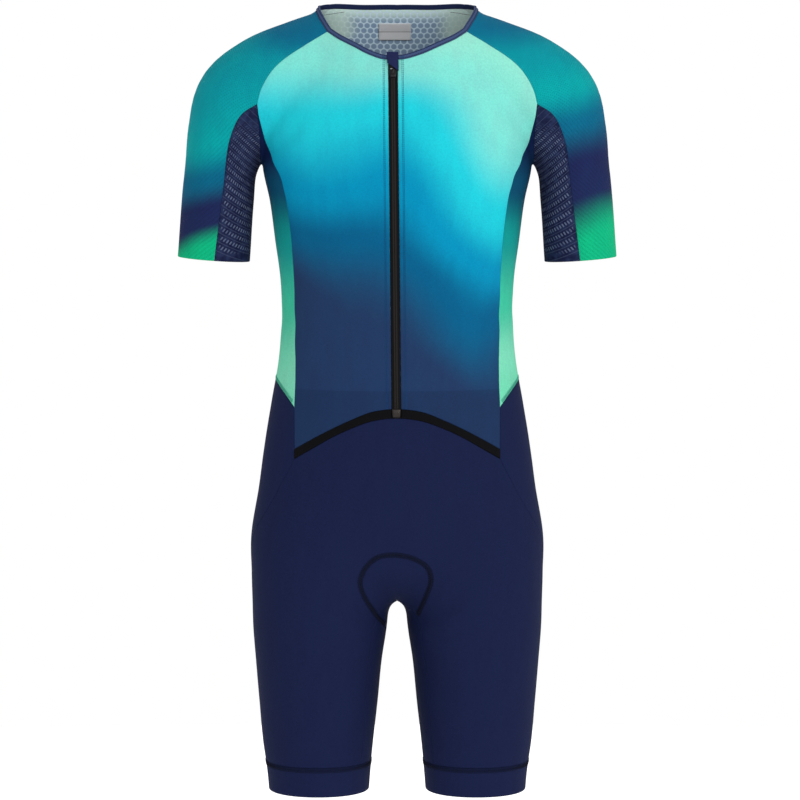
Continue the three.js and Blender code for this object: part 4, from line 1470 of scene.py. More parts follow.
@dataclass
class Panels:
    """All the cut cloth panels, on both sides of the suit."""

    form: FilledForm
    seams: Seams
    wardrobe: Wardrobe

    def body(self) -> dict[str, list[Patch]]:
        """Cuts the front, back, side, sleeve and underarm panels."""
        s, n, patch = self.seams, STEPS, partial(fill, self.form)
        neck, tape = cut(s.neck_front, n.front), cut(s.tape_top, n.front)
        zip_edge = cut(s.zip_edge, n.raglan + n.side + n.hip_edge)
        raglan_front, side_front = cut(s.raglan_front, n.raglan), cut(s.side_front, n.side)
        raglan_back, side_back = cut(s.raglan_back, n.raglan), cut(s.side_back, n.side)
        front_edge = join(raglan_front, side_front, cut(s.hip_edge, n.hip_edge))
        mesh_front, mesh_back = cut(s.mesh_front, n.mesh), cut(s.mesh_back, n.mesh)
        outer, inner = cut(s.arm_outer, n.raglan + n.mesh), cut(s.arm_inner, n.mesh)
        armhole_front, armhole_back = cut(s.armhole_front, n.armhole), cut(s.armhole_back, n.armhole)
        side_line = cut(s.side_line, n.side)
        back = patch((cut(s.neck_back, n.back), cut(s.waist_back, n.back),
                      join(raglan_back, side_back), cut(s.spine, n.raglan + n.side)),
                     115, 440, "tbl")
        return {
            "front": [patch((neck, tape, zip_edge, front_edge), 112, 400, "tblr")],
            "back": [back, back.mirrored()],
            "sleeve": [
                patch((cut(s.neck_sleeve_front, n.shoulder), cut(s.hem_front_out, n.shoulder),
                       join(raglan_front, mesh_front), outer), 90, 300, "tbl"),
                patch((cut(s.neck_sleeve_back, n.shoulder), cut(s.hem_back_out, n.shoulder),
                       join(raglan_back, mesh_back), outer), 90, 300, "tbl"),
            ],
            "underarm": [
                mesh_rows(patch((armhole_front, cut(s.hem_front_in, n.armhole), mesh_front, inner),
                                65, 150, "tbl", "left")),
                mesh_rows(patch((armhole_back, cut(s.hem_back_in, n.armhole), mesh_back, inner),
                                65, 150, "tbl", "left")),
            ],
            "side": [
                patch((armhole_front, cut(s.strip_foot_front, n.armhole), side_front, side_line),
                      80, 310, "tbl"),
                patch((armhole_back, cut(s.strip_foot_back, n.armhole), side_back, side_line),
                      80, 310, "tbl"),
            ],
        }

    def shorts(self) -> dict[str, list[Patch]]:
        """Cuts the belly, thigh, hip, seat, leg and inner leg panels."""
        s, n, patch = self.seams, STEPS, partial(fill, self.form)
        hip_steps = n.hip_edge + n.tape + n.hip
        tape_end = np.array([s.tape_top_end, s.tape_foot_end])
        hip_seam = cut(s.hip_seam, n.hip)
        belly_line = cut(s.belly_line, n.hip)
        waist = join(cut(np.array([belly_line[0], s.tape_foot[0]]), n.tape), cut(s.tape_foot, n.front))
        row_front = cut(s.row_front, n.front + n.tape)
        outer_leg = cut(s.outer_leg, n.leg)
        inner_front, inner_back = cut(s.inner_front, n.leg), cut(s.inner_back, n.leg)
        side_lower, seat_line = cut(s.side_lower, hip_steps), cut(s.seat_line, hip_steps)
        side_leg, seat_leg = cut(s.side_leg, n.leg), cut(s.seat_leg, n.leg)
        row_side, row_seat_side = cut(s.row_side, n.armhole), cut(s.row_seat_side, n.armhole)
        row_seat = cut(s.row_seat, n.back)
        hip_front = join(cut(s.hip_edge, n.hip_edge), cut(tape_end, n.tape), hip_seam)
        foot_front, foot_back = cut(s.strip_foot_front, n.armhole), cut(s.strip_foot_back, n.armhole)
        belly = patch((waist, row_front, belly_line, hip_seam), 140, 200, "Ltr")
        thigh = patch((row_front, cut(s.band_front, n.front + n.tape), inner_front, outer_leg),
                      140, 190, "blr")
        return {
            "shorts_front": [belly, thigh, belly.mirrored(), thigh.mirrored()],
            "shorts_back": [
                patch((foot_front, row_side, hip_front, side_lower), 40, 240, "tl"),
                patch((foot_back[::-1], row_seat_side, side_lower, seat_line), 60, 240, "t"),
                patch((cut(s.waist_back, n.back), row_seat, seat_line, cut(s.tail, hip_steps)),
                      110, 240, "tr"),
                patch((row_side, cut(s.band_side, n.armhole), outer_leg, side_leg), 40, 190, "bl"),
                patch((row_seat_side, cut(s.band_seat_side, n.armhole), side_leg, seat_leg),
                      60, 190, "b"),
                patch((row_seat, cut(s.band_seat, n.back), seat_leg, inner_back), 110, 190, "br"),
            ],
            "inner_leg": [
                patch((cut(s.crotch_line, n.inner), cut(s.band_inner, n.inner), inner_front, inner_back),
                      90, 190, "tblr"),
            ],
        }

    def hem_band(self) -> list[Patch]:
        """Cuts the gripper band, a ring of level rows below the leg's last ring."""
        s, n = self.seams, STEPS
        ring = join(cut(s.band_front, n.front), cut(s.band_side, n.armhole),
                    cut(s.band_seat_side, n.armhole), cut(s.band_seat, n.back),
                    cut(s.band_inner, n.inner)[::-1])
        falls = (LEG_HEM - BAND_TOP) * edge_places(n.band, BAND_TOP - LEG_HEM, True, True)[:, None]
        grid = np.stack([self.form.settle(ring + (0, 0, fall.item()), level=True) for fall in falls])
        order = np.arange(len(falls))[:, None]
        rank = np.minimum(np.minimum(order, order[::-1]), len(EDGE_FALL) - 1)
        weave = np.stack(np.broadcast_arrays(lengths(ring), falls), axis=-1)
        return [Patch(grid, np.broadcast_to(rank, grid.shape[:2]).copy(), weave)]

    def make(self) -> None:
        """Builds and dresses every panel."""
        navy, navy_inside = Knit("navy_knit"), Knit("navy_knit_inside", code="2a3157")
        pale_inside = Knit("pale_knit_inside", code="d2efe8")
        perforated = Knit("sleeve_fade", SLEEVE_FADE, holes=True)
        kinds = {
            "front": Panel("front_print", Knit("front_fade", FRONT_FADE), pale_inside,
                           Cut(0.135, 0.42, 0.051)),
            "back": Panel("back_print", Knit("back_fade", BACK_FADE), DottedLining(),
                          Cut(0.32, 0.44, 0.108)),
            "sleeve": Panel("sleeve_print", perforated, pale_inside, Cut(0.22, 0.32, 0.048)),
            "underarm": Panel("mesh_knit", MeshKnit(), navy_inside, Cut(0.13, 0.19, 0.017)),
            # The side strip's dark top is partly painted shadow under the arm.
            "side": Panel("side_print", Knit("side_fade", SIDE_FADE_WITH_ARMPIT_SHADE), pale_inside, Cut(0.16, 0.31, 0.03)),
            "shorts_front": Panel("navy_knit", navy, navy_inside, Cut(0.4, 0.45, 0.13)),
            "shorts_back": Panel("navy_knit", navy, navy_inside, Cut(0.24, 0.45, 0.09)),
            "inner_leg": Panel("navy_knit", navy, navy_inside, Cut(0.095, 0.23, 0.019)),
            "hem_band": Panel("navy_knit", navy, navy_inside, Cut(0.39, 0.034, 0.0132), 1.4, 0.2),
        }
        cut_pieces = {**self.body(), **self.shorts(), "hem_band": self.hem_band()}
        for name, patches in cut_pieces.items():
            kind = kinds[name]
            skin = Skin(self.form, patches)
            log.info("%s: %.4f square metres of cloth", name, skin.area())
            if name in ("back", "shorts_front"):
                self._piece(f"{name}_panel", name, skin, kind)
                continue
            self._piece(f"{name}_panel_left", f"{name}_left", skin, kind)
            self._piece(f"{name}_panel_right", f"{name}_right", skin.mirrored(), kind)

    def _piece(self, name: str, node: str, skin: Skin, kind: Panel) -> None:
        """Makes one piece of cloth, in place of its solid."""
        made = cloth_object(name, skin, kind.wall, kind.lift)
        self.wardrobe.hang(made, kind.slot, [kind.outer, kind.inner], [node])


@dataclass
class Threads:
    """Stitches as many small arched strands, joined into one mesh for each seam."""

    form: FilledForm
    wardrobe: Wardrobe
    rings: int = 4
    sides: int = 5

    def strands(self, start: Points, end: Points, normal: Points, radius: float,
                arch: float) -> tuple[Points, list[Faces]]:
        """Builds one closed strand for each pair of points.

        A strand's centre runs straight from start to end and arches outward as a parabola. Its section
        is a ring of few sides that narrows to both ends.

        Args:
            start: Where the strands start.
            end: Where they end.
            normal: The outward direction at each.
            radius: The thread's radius.
            arch: How far the middle stands out.

        Returns:
            The points, and the faces as quads and end caps.
        """
        s = np.linspace(0, 1, self.rings)
        angle = np.arange(self.sides) * math.tau / self.sides
        along = unit(end - start)
        side = unit(np.cross(normal, along))
        rise = np.cross(along, side)
        centre = start[:, None] + (end - start)[:, None] * s[:, None] \
            + normal[:, None] * (arch * 4 * s * (1 - s))[:, None]
        girth = radius * (0.45 + 0.55 * np.sqrt(np.sin(np.pi * s)))
        ring = side[:, None, None] * np.cos(angle)[:, None] + rise[:, None, None] * np.sin(angle)[:, None]
        points = centre[:, :, None] + ring * girth[None, :, None, None]
        ids = np.arange(len(start) * self.rings * self.sides).reshape(-1, self.rings, self.sides)
        return points.reshape(-1, 3), [ring_quads(ids), np.vstack([ids[:, 0, ::-1], ids[:, -1]])]

    def beside(self, line: Points, offset: float, level: bool = False) -> Points:
        """Moves a line sideways over the form, to the left of its run seen from outside."""
        run = unit(np.gradient(line, axis=0))
        side = np.cross(self.form.normal(line), run)
        return self.form.settle(line + side * offset, level)

    def lay(self, line: Points, lift: float) -> Points:
        """Lifts points of the form to where the cloth's creases have taken it, and `lift` more."""
        return line + self.form.normal(line) * (relief(line) + lift)[:, None]

    def row(self, line: Points, offset: float, pitch: float, lift: float = 0.0, fill_share: float = 0.78,
            radius: float = 0.24) -> tuple[Points, list[Faces]]:
        """Sews a straight row of stitches beside a line.

        Args:
            line: The seam's line.
            offset: How far to its side.
            pitch: A stitch's length with its gap.
            lift: How far the cloth stands off the form there.
            fill_share: The thread's share of the pitch.
            radius: The thread's radius.

        Returns:
            The points and faces.
        """
        path = self.beside(line, offset) if offset else line
        count = max(int(lengths(path)[-1] / pitch), 1)
        at = np.linspace(0, lengths(path)[-1], count, endpoint=False)
        step = lengths(path)[-1] / count
        start = self.lay(at_lengths(path, at), lift)
        end = self.lay(at_lengths(path, at + step * fill_share), lift)
        return self.strands(start, end, self.form.normal((start + end) / 2), radius, radius * 0.8)

    def zigzag(self, line: Points, half: float, pitch: float, lift: float = 0.0,
               radius: float = 0.22) -> tuple[Points, list[Faces]]:
        """Sews a covering zigzag about a line.

        Args:
            line: The seam's line.
            half: How far it reaches to each side.
            pitch: A stitch's length along the line.
            lift: How far the cloth stands off the form there.
            radius: The thread's radius.

        Returns:
            The points and faces.
        """
        count = max(int(lengths(line)[-1] / pitch), 2)
        middle = cut(line, count)
        left, right = self.beside(middle, half), self.beside(middle, -half)
        ends = self.lay(np.where((np.arange(count + 1) % 2 == 0)[:, None], left, right), lift)
        return self.strands(ends[:-1], ends[1:], self.form.normal(middle[:-1]), radius, radius)

    def sew(self, name: str, slot: str, finish: Any,
            rows: Sequence[tuple[Points, list[Faces]]], both: bool = True) -> None:
        """Joins rows of stitches into a piece, and its mirror image for the other side.

        Args:
            name: The piece's name.
            slot: The record's material slot.
            finish: The thread's finish.
            rows: The rows of stitches.
            both: Whether the other side has them too.
        """
        starts = np.cumsum([0] + [len(points) for points, _ in rows])
        points = np.vstack([points for points, _ in rows])
        faces = [np.vstack([kinds[k] + start for (_, kinds), start in zip(rows, starts)]) for k in (0, 1)]
        if not both:
            self.wardrobe.hang(to_object(name, points, faces), slot, [finish])
            return
        self.wardrobe.hang(to_object(f"{name}_left", points, faces), slot, [finish])
        twin = to_object(f"{name}_right", points * (-1, 1, 1), [face[:, ::-1] for face in faces])
        self.wardrobe.hang(twin, slot, [finish])


@dataclass
class Stitching:
    """The seams' visible sewing."""

    threads: Threads
    seams: Seams
    pitch: float = 2.6
    zip_rows: tuple[float, float] = (4.4, 5.8)

    def make(self) -> None:
        """Sews the zip's edges, the side strips' feet, the pad's outline and the hem bands."""
        t, s = self.threads, self.seams
        navy, blue, green = (PlainFinish(f"{name}_thread", code, 0.7) for name, code in (
            ("navy", "0a0f24"), ("blue", "0f4a7d"), ("green", "46ad92")))
        left, foot = cut(s.zip_edge, 160), cut(s.strip_foot_front, 60)[5:]
        over = t.form.settle(np.linspace(left[0] + (0, 0, 0.8), left[0] + (0, 0, BINDING_WIDTH), 9))
        rows = [t.row(left, offset, 2.4, radius=0.3) for offset in self.zip_rows]
        rows += [t.row(over, -offset, 2.4, 0.85, radius=0.4) for offset in self.zip_rows]
        t.sew("zip_topstitch", "front_print", blue, rows)
        t.sew("strip_foot_stitch", "side_print", green, [
            t.row(foot, 0.5, 2.0), t.row(foot, 4.1, 2.0), t.zigzag(t.beside(foot, 2.3), 1.8, 0.9, 0.0, 0.28),
        ])
        self._hems(navy)
        self._pad(navy)
        shoulder = s.along([(60, 41, -4.5), (70, 34, -7), (81, 22, -13)])
        t.sew("shoulder_seam_stitch", "back_print", navy, [
            t.row(shoulder, 0.0, 1.6, -CLOTH - 0.25, 0.9, 0.3),
        ])

    def _hems(self, finish: PlainFinish) -> None:
        """Sews the flat cover seam over the top of each hem band."""
        t, s = self.threads, self.seams
        ring = join(cut(s.band_front, 80), cut(s.band_side, 30), cut(s.band_seat_side, 30),
                    cut(s.band_seat, 60), cut(s.band_inner, 50)[::-1])
        ring = t.form.settle(ring - (0, 0, 2.6), level=True)
        t.sew("hem_cover_stitch", "navy_knit", finish, [
            t.zigzag(ring, 2.3, 1.15, 0.35),
            *(t.row(ring, offset, self.pitch, 0.3) for offset in (2.6, -2.6)),
        ])

    def _pad(self, finish: PlainFinish) -> None:
        """Sews the band of cover stitch that holds the seat pad's front edge."""
        t = self.threads
        outline = [
            (-14.2, -699), (-24.5, -682.5), (-37.9, -658.5), (-41.6, -642.8), (-35.7, -626.5),
            (-23.1, -614.6), (-8.5, -611.1), (5.9, -611.9), (20.4, -616.2), (34.3, -626.1),
            (38.1, -640), (34.6, -654.9), (26.8, -675.3), (22.4, -684.5),
        ]
        line = cut(self.seams.seen(outline), 200)
        t.sew("pad_outline_stitch", "navy_knit", finish, [
            t.zigzag(line, 2.3, 0.8, 0.12, 0.3),
            *(t.row(line, offset, self.pitch, 0.1, 0.86, 0.36) for offset in (2.6, -2.6)),
        ], both=False)


def swept(name: str, rows: Array, weave: Array,
          inner_from: int | None = None) -> Piece:
    """Closes a tube from rings of points along a path, with a cap at both ends.

    Args:
        name: The piece's name.
        rows: Rings of points, from the path's start to its end.
        weave: Each point's place in the weave, in millimetres.
        inner_from: From which point of a ring on the second material is used.

    Returns:
        The new object.
    """
    length, around = rows.shape[:2]
    ids = np.arange(length * around).reshape(length, around)
    quads, caps = ring_quads(ids), np.vstack([ids[0, ::-1], ids[-1]])
    flat = rows.reshape(-1, 3)
    centre = rows.mean(axis=1)[:-1].repeat(around, axis=0)
    if (facing(flat, quads) * (flat[quads].mean(axis=1) - centre)).sum() <= 0:
        quads, caps = quads[:, ::-1], caps[:, ::-1]
    places = weave.reshape(-1, 2)
    corners = np.vstack([places[quads].reshape(-1, 2), places[caps].reshape(-1, 2)])
    inner = None if inner_from is None else np.tile(np.arange(around) >= inner_from, length - 1)
    return to_object(name, flat, [quads, caps], corners, inner)


def plate(name: str, over: Points, under: Points, places: Array) -> Piece:
    """Closes a small plate from a grid of points seen from the front and the grid behind it.

    Args:
        name: The piece's name.
        over: The front side's points, in rows downward and columns to the wearer's left.
        under: The points behind them.
        places: Each point's place in the weave, as a grid, in millimetres.

    Returns:
        The new object, its faces outward.
    """
    count = len(over)
    ids = np.arange(count).reshape(places.shape[:2])
    quads = grid_quads(ids.T)
    ring = np.concatenate([ids[:, 0], ids[-1, 1:], ids[-2::-1, -1], ids[0, -2:0:-1]])
    rims = np.column_stack([np.roll(ring, -1), ring, ring + count, np.roll(ring, -1) + count])
    shell = np.vstack([quads, (quads + count)[:, ::-1]])
    weave = np.vstack([places.reshape(-1, 2)] * 2)[np.vstack([shell, rims])]
    return to_object(name, np.vstack([over, under]), [shell, rims], weave)


@dataclass
class Strip:
    """A narrow strip laid on the form between two lines, with a rounded section."""

    form: FilledForm
    name: str
    lift: float
    wall: float
    round_off: float = 0.8
    crown: float = 0.0
    columns: int = 9
    grooves: tuple[float, ...] = ()

    def make(self, first: Points, last: Points, ripple: float = 0.0) -> Piece:
        """Builds the strip as a closed tube: outer side, rounded edges, inner side.

        Across the strip the outer side follows a flat crown that falls off as a quarter circle at both
        edges, less a narrow groove at each sewn line.

        Args:
            first: One edge's points.
            last: The other edge's points.
            ripple: How much the strip waves along its run.

        Returns:
            The new object.
        """
        width = np.linalg.norm(last - first, axis=1).mean()
        edge = self.round_off / width
        middle = np.linspace(edge, 1 - edge, self.columns)
        across = np.concatenate([[0, edge * 0.3], middle, [1 - edge * 0.3, 1]])
        near = np.minimum(across, 1 - across) / edge
        fall = self.round_off * (1 - np.sqrt(np.clip(1 - (1 - np.clip(near, 0, 1)) ** 2, 0, 1)))
        dip = sum(0.28 * np.exp(-((across - groove) / 0.06) ** 2) for groove in self.grooves)
        high = self.lift + self.crown * 4 * across * (1 - across) - fall - dip
        low = self.lift - self.wall + fall * 0.6
        grid = first[:, None] + (last - first)[:, None] * across[None, :, None]
        flat = self.form.settle(grid.reshape(-1, 3))
        normal = self.form.normal(flat)
        base = (flat + normal * relief(flat)[:, None]).reshape(grid.shape)
        normal = normal.reshape(grid.shape)
        run = lengths((first + last) / 2)
        wave = ripple * np.sin(run / 3.1)[:, None] * np.sin(np.pi * across)
        outer = base + normal * (high + wave)[..., None]
        inner = base + normal * low[:, None]
        over = np.concatenate([across, across[::-1]]) * width
        weave = np.stack(np.broadcast_arrays(over[None], run[:, None]), axis=-1)
        return swept(self.name, np.concatenate([outer, inner[:, ::-1]], axis=1), weave, len(across))


@dataclass
class Trims:
    """The neck binding, the waist tape and the label."""

    form: FilledForm
    seams: Seams
    threads: Threads
    wardrobe: Wardrobe
    binding_rows: tuple[float, float] = (0.2, 0.8)
    label_sides: tuple[float, float] = (-21.4, 15.8)
    label_ends: tuple[float, float] = (-16.0, -35.0)
    label_fold: float = -25.6
    label_depth: float = 0.64

    def neck_line(self) -> tuple[Points, Points]:
        """Finds the neck seam from the zip round to the zip.

        Returns:
            The seam and the opening's edge above it.
        """
        s = self.seams
        half = join(cut(s.neck_front, 60), cut(s.neck_sleeve_front, 16),
                    cut(s.neck_sleeve_back, 16)[::-1], cut(s.neck_back, 40))
        run = unit(np.gradient(half, axis=0))
        run[-1] = (1, 0, 0)
        up = unit(np.cross(self.form.normal(half), run))
        up = up * np.where(up[:, 2:] < 0, -1, 1)
        up[[0, -1], 0] = 0
        edge = self.form.settle(half + unit(up) * BINDING_WIDTH)
        seam, edge = (np.vstack([line, line[-2::-1] * (-1, 1, 1)]) for line in (half, edge))
        return seam, edge

    def make(self) -> None:
        """Builds the trims."""
        w, t = self.wardrobe, self.threads
        seam, edge = self.neck_line()
        cloth, inside = (WovenTape(f"neck_binding_{name}", code, 0.0016, contrast=0.3)
                         for name, code in (("cloth", "495b85"), ("inside", "243058")))
        thread = PlainFinish("binding_thread", "14193f", 0.7)
        strip = Strip(self.form, "neck_binding_folded", 0.5, 2.2, 0.9, 0.25, 13, self.binding_rows)
        w.hang(strip.make(seam, edge, 0.06), "binding", [cloth, inside], ["neck_binding"])
        rows = [t.row(self.form.settle(seam + (edge - seam) * share), 0.0, 2.4, 0.5, 0.86, 0.4)
                for share in self.binding_rows]
        t.sew("binding_stitch", "binding", thread, rows, both=False)
        self._waist_tape()
        self._label()

    def _waist_tape(self) -> None:
        """Builds the black woven tape over the waist seam, with its edge stitches."""
        w, t, s = self.wardrobe, self.threads, self.seams
        cloth = WovenTape("waist_tape_weave", "0b0b0f", 0.0011)
        thread = PlainFinish("tape_thread", "0c0c0e", 0.6)
        top, foot = cut(s.tape_top, 90), cut(s.tape_foot, 90)
        top, foot = top + unit(foot - top) * 0.15, foot - unit(foot - top) * 0.15
        for side, sign in (("left", 1), ("right", -1)):
            lines = (top * (sign, 1, 1), foot * (sign, 1, 1))
            tape = Strip(self.form, f"waist_tape_woven_{side}", 0.4, 1.7, 0.35, 0.1).make(*lines)
            w.hang(tape, "waist_tape", [cloth, cloth], [f"waist_tape_{side}"])
        t.sew("waist_tape_stitch", "waist_tape", thread, [
            t.row(self.form.settle(top + (foot - top) * share), 0.0, 2.6, 0.42, 0.75, 0.16)
            for share in (0.14, 0.86)
        ])

    def _label(self) -> None:
        """Builds the blank woven label inside the back of the neck, with its fold line."""
        (left, right), (top, foot) = self.label_sides, self.label_ends
        cloth = WovenTape("label_satin", "f6f7fa", 0.0006, contrast=0.12, line=self.label_fold * MM,
                          depth=self.label_depth)
        x, z = np.meshgrid(np.linspace(left, right, 31), np.linspace(top, foot, 21))
        grid = np.stack([x, z], axis=-1)
        flat = self.form.drop(x.ravel(), z.ravel(), Side.BACK)
        normal = self.form.normal(flat)
        near = np.minimum(np.minimum(x - left, right - x), np.minimum(top - z, z - foot)).ravel()
        soft = 0.12 * np.exp(-near / 0.6)
        fold = 0.18 * np.exp(-((z.ravel() - self.label_fold) / 0.5) ** 2)
        curl = 0.5 * np.exp(-((z.ravel() - foot) / 4.0) ** 2)
        inner = flat - normal * (2.6 + curl - soft - fold)[:, None]
        outer = flat - normal * (2.0 + curl + soft)[:, None]
        label = plate("neck_label_blank", inner, outer, grid)
        self.wardrobe.hang(label, "label", [cloth], ["label"])


def dome(u: Array, power: float) -> Array:
    """Returns a bulge from 0 at both ends of -1 to 1 to 1 between: the root of 1 - |u| to a power."""
    return np.sqrt(np.clip(1 - np.abs(u) ** power, 0, 1))


@dataclass
class ZipFront:
    """The zip: its tape and coil ridge, slider, garage and bottom stop."""

    form: FilledForm
    seams: Seams
    threads: Threads
    wardrobe: Wardrobe
    tooth: float = 1.5

    def _laid(self, x: Array, z: Array) -> tuple[Points, Points]:
        """Returns points on the front of the form and the outward direction there."""
        flat = self.form.drop(x.ravel(), z.ravel(), Side.FRONT)
        return flat, self.form.normal(flat)

    def make(self) -> None:
        """Builds all of it."""
        self._tape()
        self._coil()
        self._slider()
        self._garage()
        self._stop()

    def _tape(self) -> None:
        """Builds the two tapes with their rolled inner edges, which meet in a fine groove."""
        across = np.array([-5.25, -5.1, -4.6, -3.9, -3.1, -2.6, -2.2, -1.8, -1.2, -0.6, -0.25, -0.1, 0.0])
        across = np.concatenate([across, -across[-2::-1]])
        lift = np.interp(np.abs(across), [0, 0.1, 0.25, 0.6, 1.8, 2.2, 2.6, 3.1, 4.6, 5.1, 5.25],
                         [0.35, 0.55, 0.85, 0.98, 0.92, 0.7, 0.25, 0.02, 0.0, -0.1, -0.3])
        z = np.linspace(ZIP_TOP - 0.2, TAPE_TOP - TAPE_WIDTH + 0.2, 200)
        x, height = np.meshgrid(across, z)
        flat, normal = self._laid(x, height)
        tooth = 0.05 * np.cos(height.ravel() * math.tau / self.tooth * 0.5)
        over = np.where(np.abs(x.ravel()) < 2.3, tooth, 0.0)
        fade = np.clip((height.ravel() - (TAPE_TOP - 2)) / 8, 0, 1)
        raised = np.tile(lift, len(z))
        raised = np.where(raised > 0, raised * fade, raised) + over * fade
        outer = flat + normal * raised[:, None]
        inner = flat - normal * CLOTH
        shape = (*x.shape, 3)
        rings = np.concatenate([outer.reshape(shape), inner.reshape(shape)[:, ::-1]], axis=1)
        around = np.concatenate([across, across[::-1]])
        weave = np.stack(np.broadcast_arrays(around[None], z[:, None]), axis=-1)
        self.wardrobe.hang(swept("zip_tapes", rings, weave), "zip", [ZipWeave()], ["zip"])

    def _coil(self) -> None:
        """Builds the nylon coil's turns on the zip's inner side, in two interlocked rows."""
        top, foot = ZIP_TOP - 4, TAPE_TOP
        count = int((top - foot) / self.tooth)
        height = top - np.arange(count * 2) * self.tooth / 2
        side = np.where(np.arange(count * 2) % 2 == 0, 1.0, -1.0)
        near, normal = self._laid(side * 2.3, height)
        far, _ = self._laid(side * -0.7, height)
        start, end = (place - normal * 1.5 + (0, 0, shift) for place, shift in ((near, -0.12), (far, 0.12)))
        rows = [self.threads.strands(start, end, -normal, 0.42, 0.5)]
        self.threads.sew("zip_coil", "zip", PlainFinish("coil_nylon", "17171a", 0.45), rows, both=False)

    def _plate(self, name: str, x: Array, z: Array, high: Array,
               low: Array) -> Piece:
        """Closes a small plate laid on the front of the form.

        Args:
            name: The piece's name.
            x: A grid of places to the side.
            z: Their heights.
            high: How far the outer side stands off the form.
            low: How far the inner side does.

        Returns:
            The new object.
        """
        flat, normal = self._laid(x, z)
        outer, inner = (flat + normal * rise.ravel()[:, None] for rise in (high, low))
        return plate(name, outer, inner, np.stack([x, z], axis=-1))

    def _slider(self) -> None:
        """Builds the slider's body: a rounded, waisted shell with a raised bridge along its middle."""
        u, v = np.meshgrid(np.linspace(-1, 1, 25), np.linspace(0, 1, 29))
        half = 3.1 + 1.3 * np.sin(np.pi * np.clip(v * 1.05, 0, 1)) ** 0.7
        x, z = u * half, -64 - 15 * v
        body = 1.4 + 1.75 * dome(u, 3.2) * dome(2 * v - 1, 6)
        bridge = 0.75 * np.exp(-(u * half / 1.1) ** 2) * np.clip(1 - np.abs(v - 0.36) / 0.3, 0, 1) ** 0.5
        made = self._plate("zip_slider_body", x, z, body + bridge, np.full(x.shape, 1.25))
        finish = PlainFinish("slider_lacquer", "101013", 0.4, coat=0.1)
        self.wardrobe.hang(made, "slider", [finish], ["zip_slider"])
        self._rivet()

    def _rivet(self) -> None:
        """Builds the bright rivet on the slider's shoulder, just under the garage's slanted edge."""
        centre, normal = self._laid(np.array([-1.7]), np.array([-69.6]))
        u, v = np.meshgrid(np.linspace(0, math.tau, 17)[:-1], np.linspace(0.02, math.pi - 0.02, 11))
        n = normal[0]
        side = unit(np.cross(n, (0, 0, 1.0)))
        up = np.cross(side, n)
        ring = side * (np.cos(u) * np.sin(v))[..., None] + up * (np.sin(u) * np.sin(v))[..., None]
        ball = centre[0] + n * 2.7 + (ring * 0.85 + n * np.cos(v)[..., None] * 0.6)
        made = swept("slider_rivet", ball, np.stack([u, v], axis=-1))
        finish = PlainFinish("bright_steel", "e9eaec", 0.18, 1.0)
        self.wardrobe.hang(made, "slider", [finish])

    def _garage(self) -> None:
        """Builds the folded cloth garage over the slider's top, cut at a slant."""
        u, v = np.meshgrid(np.linspace(0, 1, 25), np.linspace(0, 1, 29))
        left, right = -6.9 + 0.8 * v ** 2, 6.0 + 0.3 * v
        x = left + (right - left) * u
        z = -50.5 - v * (12.9 + 8.8 * u)
        rise = 2.4 + 3.2 * np.clip((-53 - z) / 8, 0, 1) ** 0.8 * (0.62 + 0.38 * np.sin(np.pi * u))
        edge = np.minimum(np.minimum(u, 1 - u) * 13, np.minimum(v, 1 - v) * 20)
        fall = 0.5 * np.exp(-edge / 0.5)
        made = self._plate("zip_garage_fold", x, z, rise - fall, rise - 1.4 + fall * 0.4)
        cloth = WovenTape("garage_cloth", "262d59", 0.0009, True, 0.25)
        self.wardrobe.hang(made, "binding", [cloth], ["zip_garage"])

    def _stop(self) -> None:
        """Builds the bottom stop: a rounded metal box with two pressed lugs."""
        u, v = np.meshgrid(np.linspace(-1, 1, 25), np.linspace(0, 1, 21))
        half = 4.8 - 0.9 * v ** 3
        x, z = u * half, TAPE_TOP + 0.5 - 9.5 * v
        box = 0.7 + 1.5 * dome(u, 4) * dome(2 * v - 1, 5)
        lugs = 0.35 * sum(np.exp(-((x - c) / 0.9) ** 2 - ((v - 0.45) / 0.22) ** 2) for c in (-2.2, 2.2))
        made = self._plate("zip_bottom_stop", x, z, box + lugs, np.full(x.shape, 0.3))
        finish = PlainFinish("gunmetal", "3b3735", 0.4, 0.7)
        self.wardrobe.hang(made, "stop", [finish], ["zip_stop"])


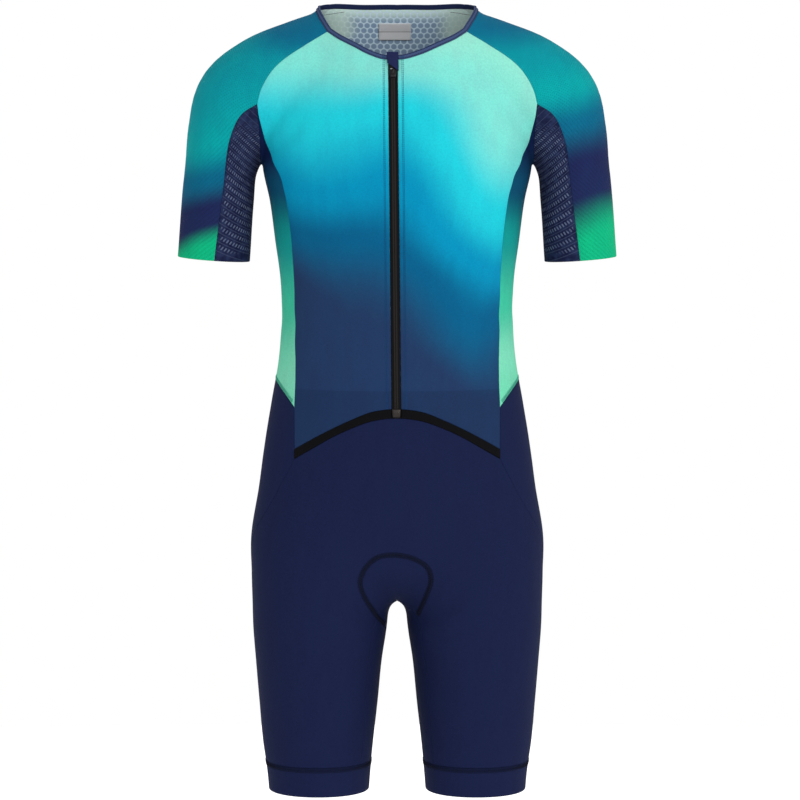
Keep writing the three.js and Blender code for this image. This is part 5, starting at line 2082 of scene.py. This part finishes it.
@dataclass
class Studio:
    """A plain white studio: camera at the photograph's angle, soft lights and a pale floor."""

    target: Triple = (0.0032, 0.0, -0.445)
    distance: float = 4.4
    elevation: float = 5.0
    view_width: float = 0.912
    floor_level: float = -6.0
    lights: tuple[tuple[str, Triple, float, float], ...] = (
        ("key", (2.3, -3.4, 0.9), 1.8, 76.0),
        ("side", (3.2, -0.9, -0.3), 1.6, 16.0),
        ("fill", (-0.7, -4.0, 0.5), 1.8, 36.0),
        ("top", (0.2, -0.3, 2.6), 2.0, 6.0),
    )

    def make(self) -> None:
        """Builds the studio."""
        self._camera()
        self._lights()
        self._floor()
        self._world()

    def _aim(self, thing: Piece, target: Vector) -> None:
        """Turns a camera or light towards a point."""
        thing.rotation_euler = (target - thing.location).to_track_quat("-Z", "Y").to_euler()

    def _camera(self) -> None:
        """Places the camera, which sees `view_width` metres across at the target."""
        data = bpy.data.cameras.new("camera")
        data.sensor_width = 36.0
        data.lens = data.sensor_width * self.distance / self.view_width
        camera = bpy.data.objects.new("camera", data)
        bpy.context.scene.collection.objects.link(camera)
        tilt = math.radians(self.elevation)
        target = Vector(self.target)
        camera.location = target + Vector((0, -math.cos(tilt), math.sin(tilt))) * self.distance
        self._aim(camera, target)
        bpy.context.scene.camera = camera

    def _lights(self) -> None:
        """Hangs the soft lights."""
        for name, place, size, power in self.lights:
            data = bpy.data.lights.new(name, "AREA")
            data.size, data.energy = size, power
            light = bpy.data.objects.new(name, data)
            light.location = place
            bpy.context.scene.collection.objects.link(light)
            self._aim(light, Vector(self.target))

    def _floor(self) -> None:
        """Lays the pale floor, a wide disc."""
        angle = np.arange(96) * math.tau / 96
        points = np.column_stack([np.cos(angle), np.sin(angle), np.zeros(96)]) * 30
        points[:, 2] = self.floor_level
        floor = to_object("floor", points / MM, [np.arange(96)[None]])
        dye = Dye("studio_white")
        tone = dye.mix(dye.times(dye.noise(0.6, 2), 0.04), srgb("fbfbfb"), srgb("eeeeee"))
        white = dye.finish(tone, 0.9, Emission_Color=(1, 1, 1, 1), Emission_Strength=0.75)
        floor.data.materials.append(white)

    def _world(self) -> None:
        """Lights the scene evenly and shows white behind it."""
        world = bpy.data.worlds.new("studio")
        world.use_nodes = True
        nodes = world.node_tree.nodes
        nodes["Background"].inputs["Color"].default_value = (1, 1, 1, 1)
        nodes["Background"].inputs["Strength"].default_value = 1.0
        bpy.context.scene.world = world
        bpy.context.scene.view_settings.view_transform = "Standard"


def main() -> None:
    """Builds the suit and its studio."""
    logging.basicConfig(level=logging.INFO, format="%(message)s")
    form = FilledForm()
    seams = Seams(form)
    wardrobe = Wardrobe()
    threads = Threads(form, wardrobe)
    Studio().make()
    Panels(form, seams, wardrobe).make()
    Trims(form, seams, threads, wardrobe).make()
    ZipFront(form, seams, threads, wardrobe).make()
    Stitching(threads, seams).make()


if __name__ == "__main__":
    main()
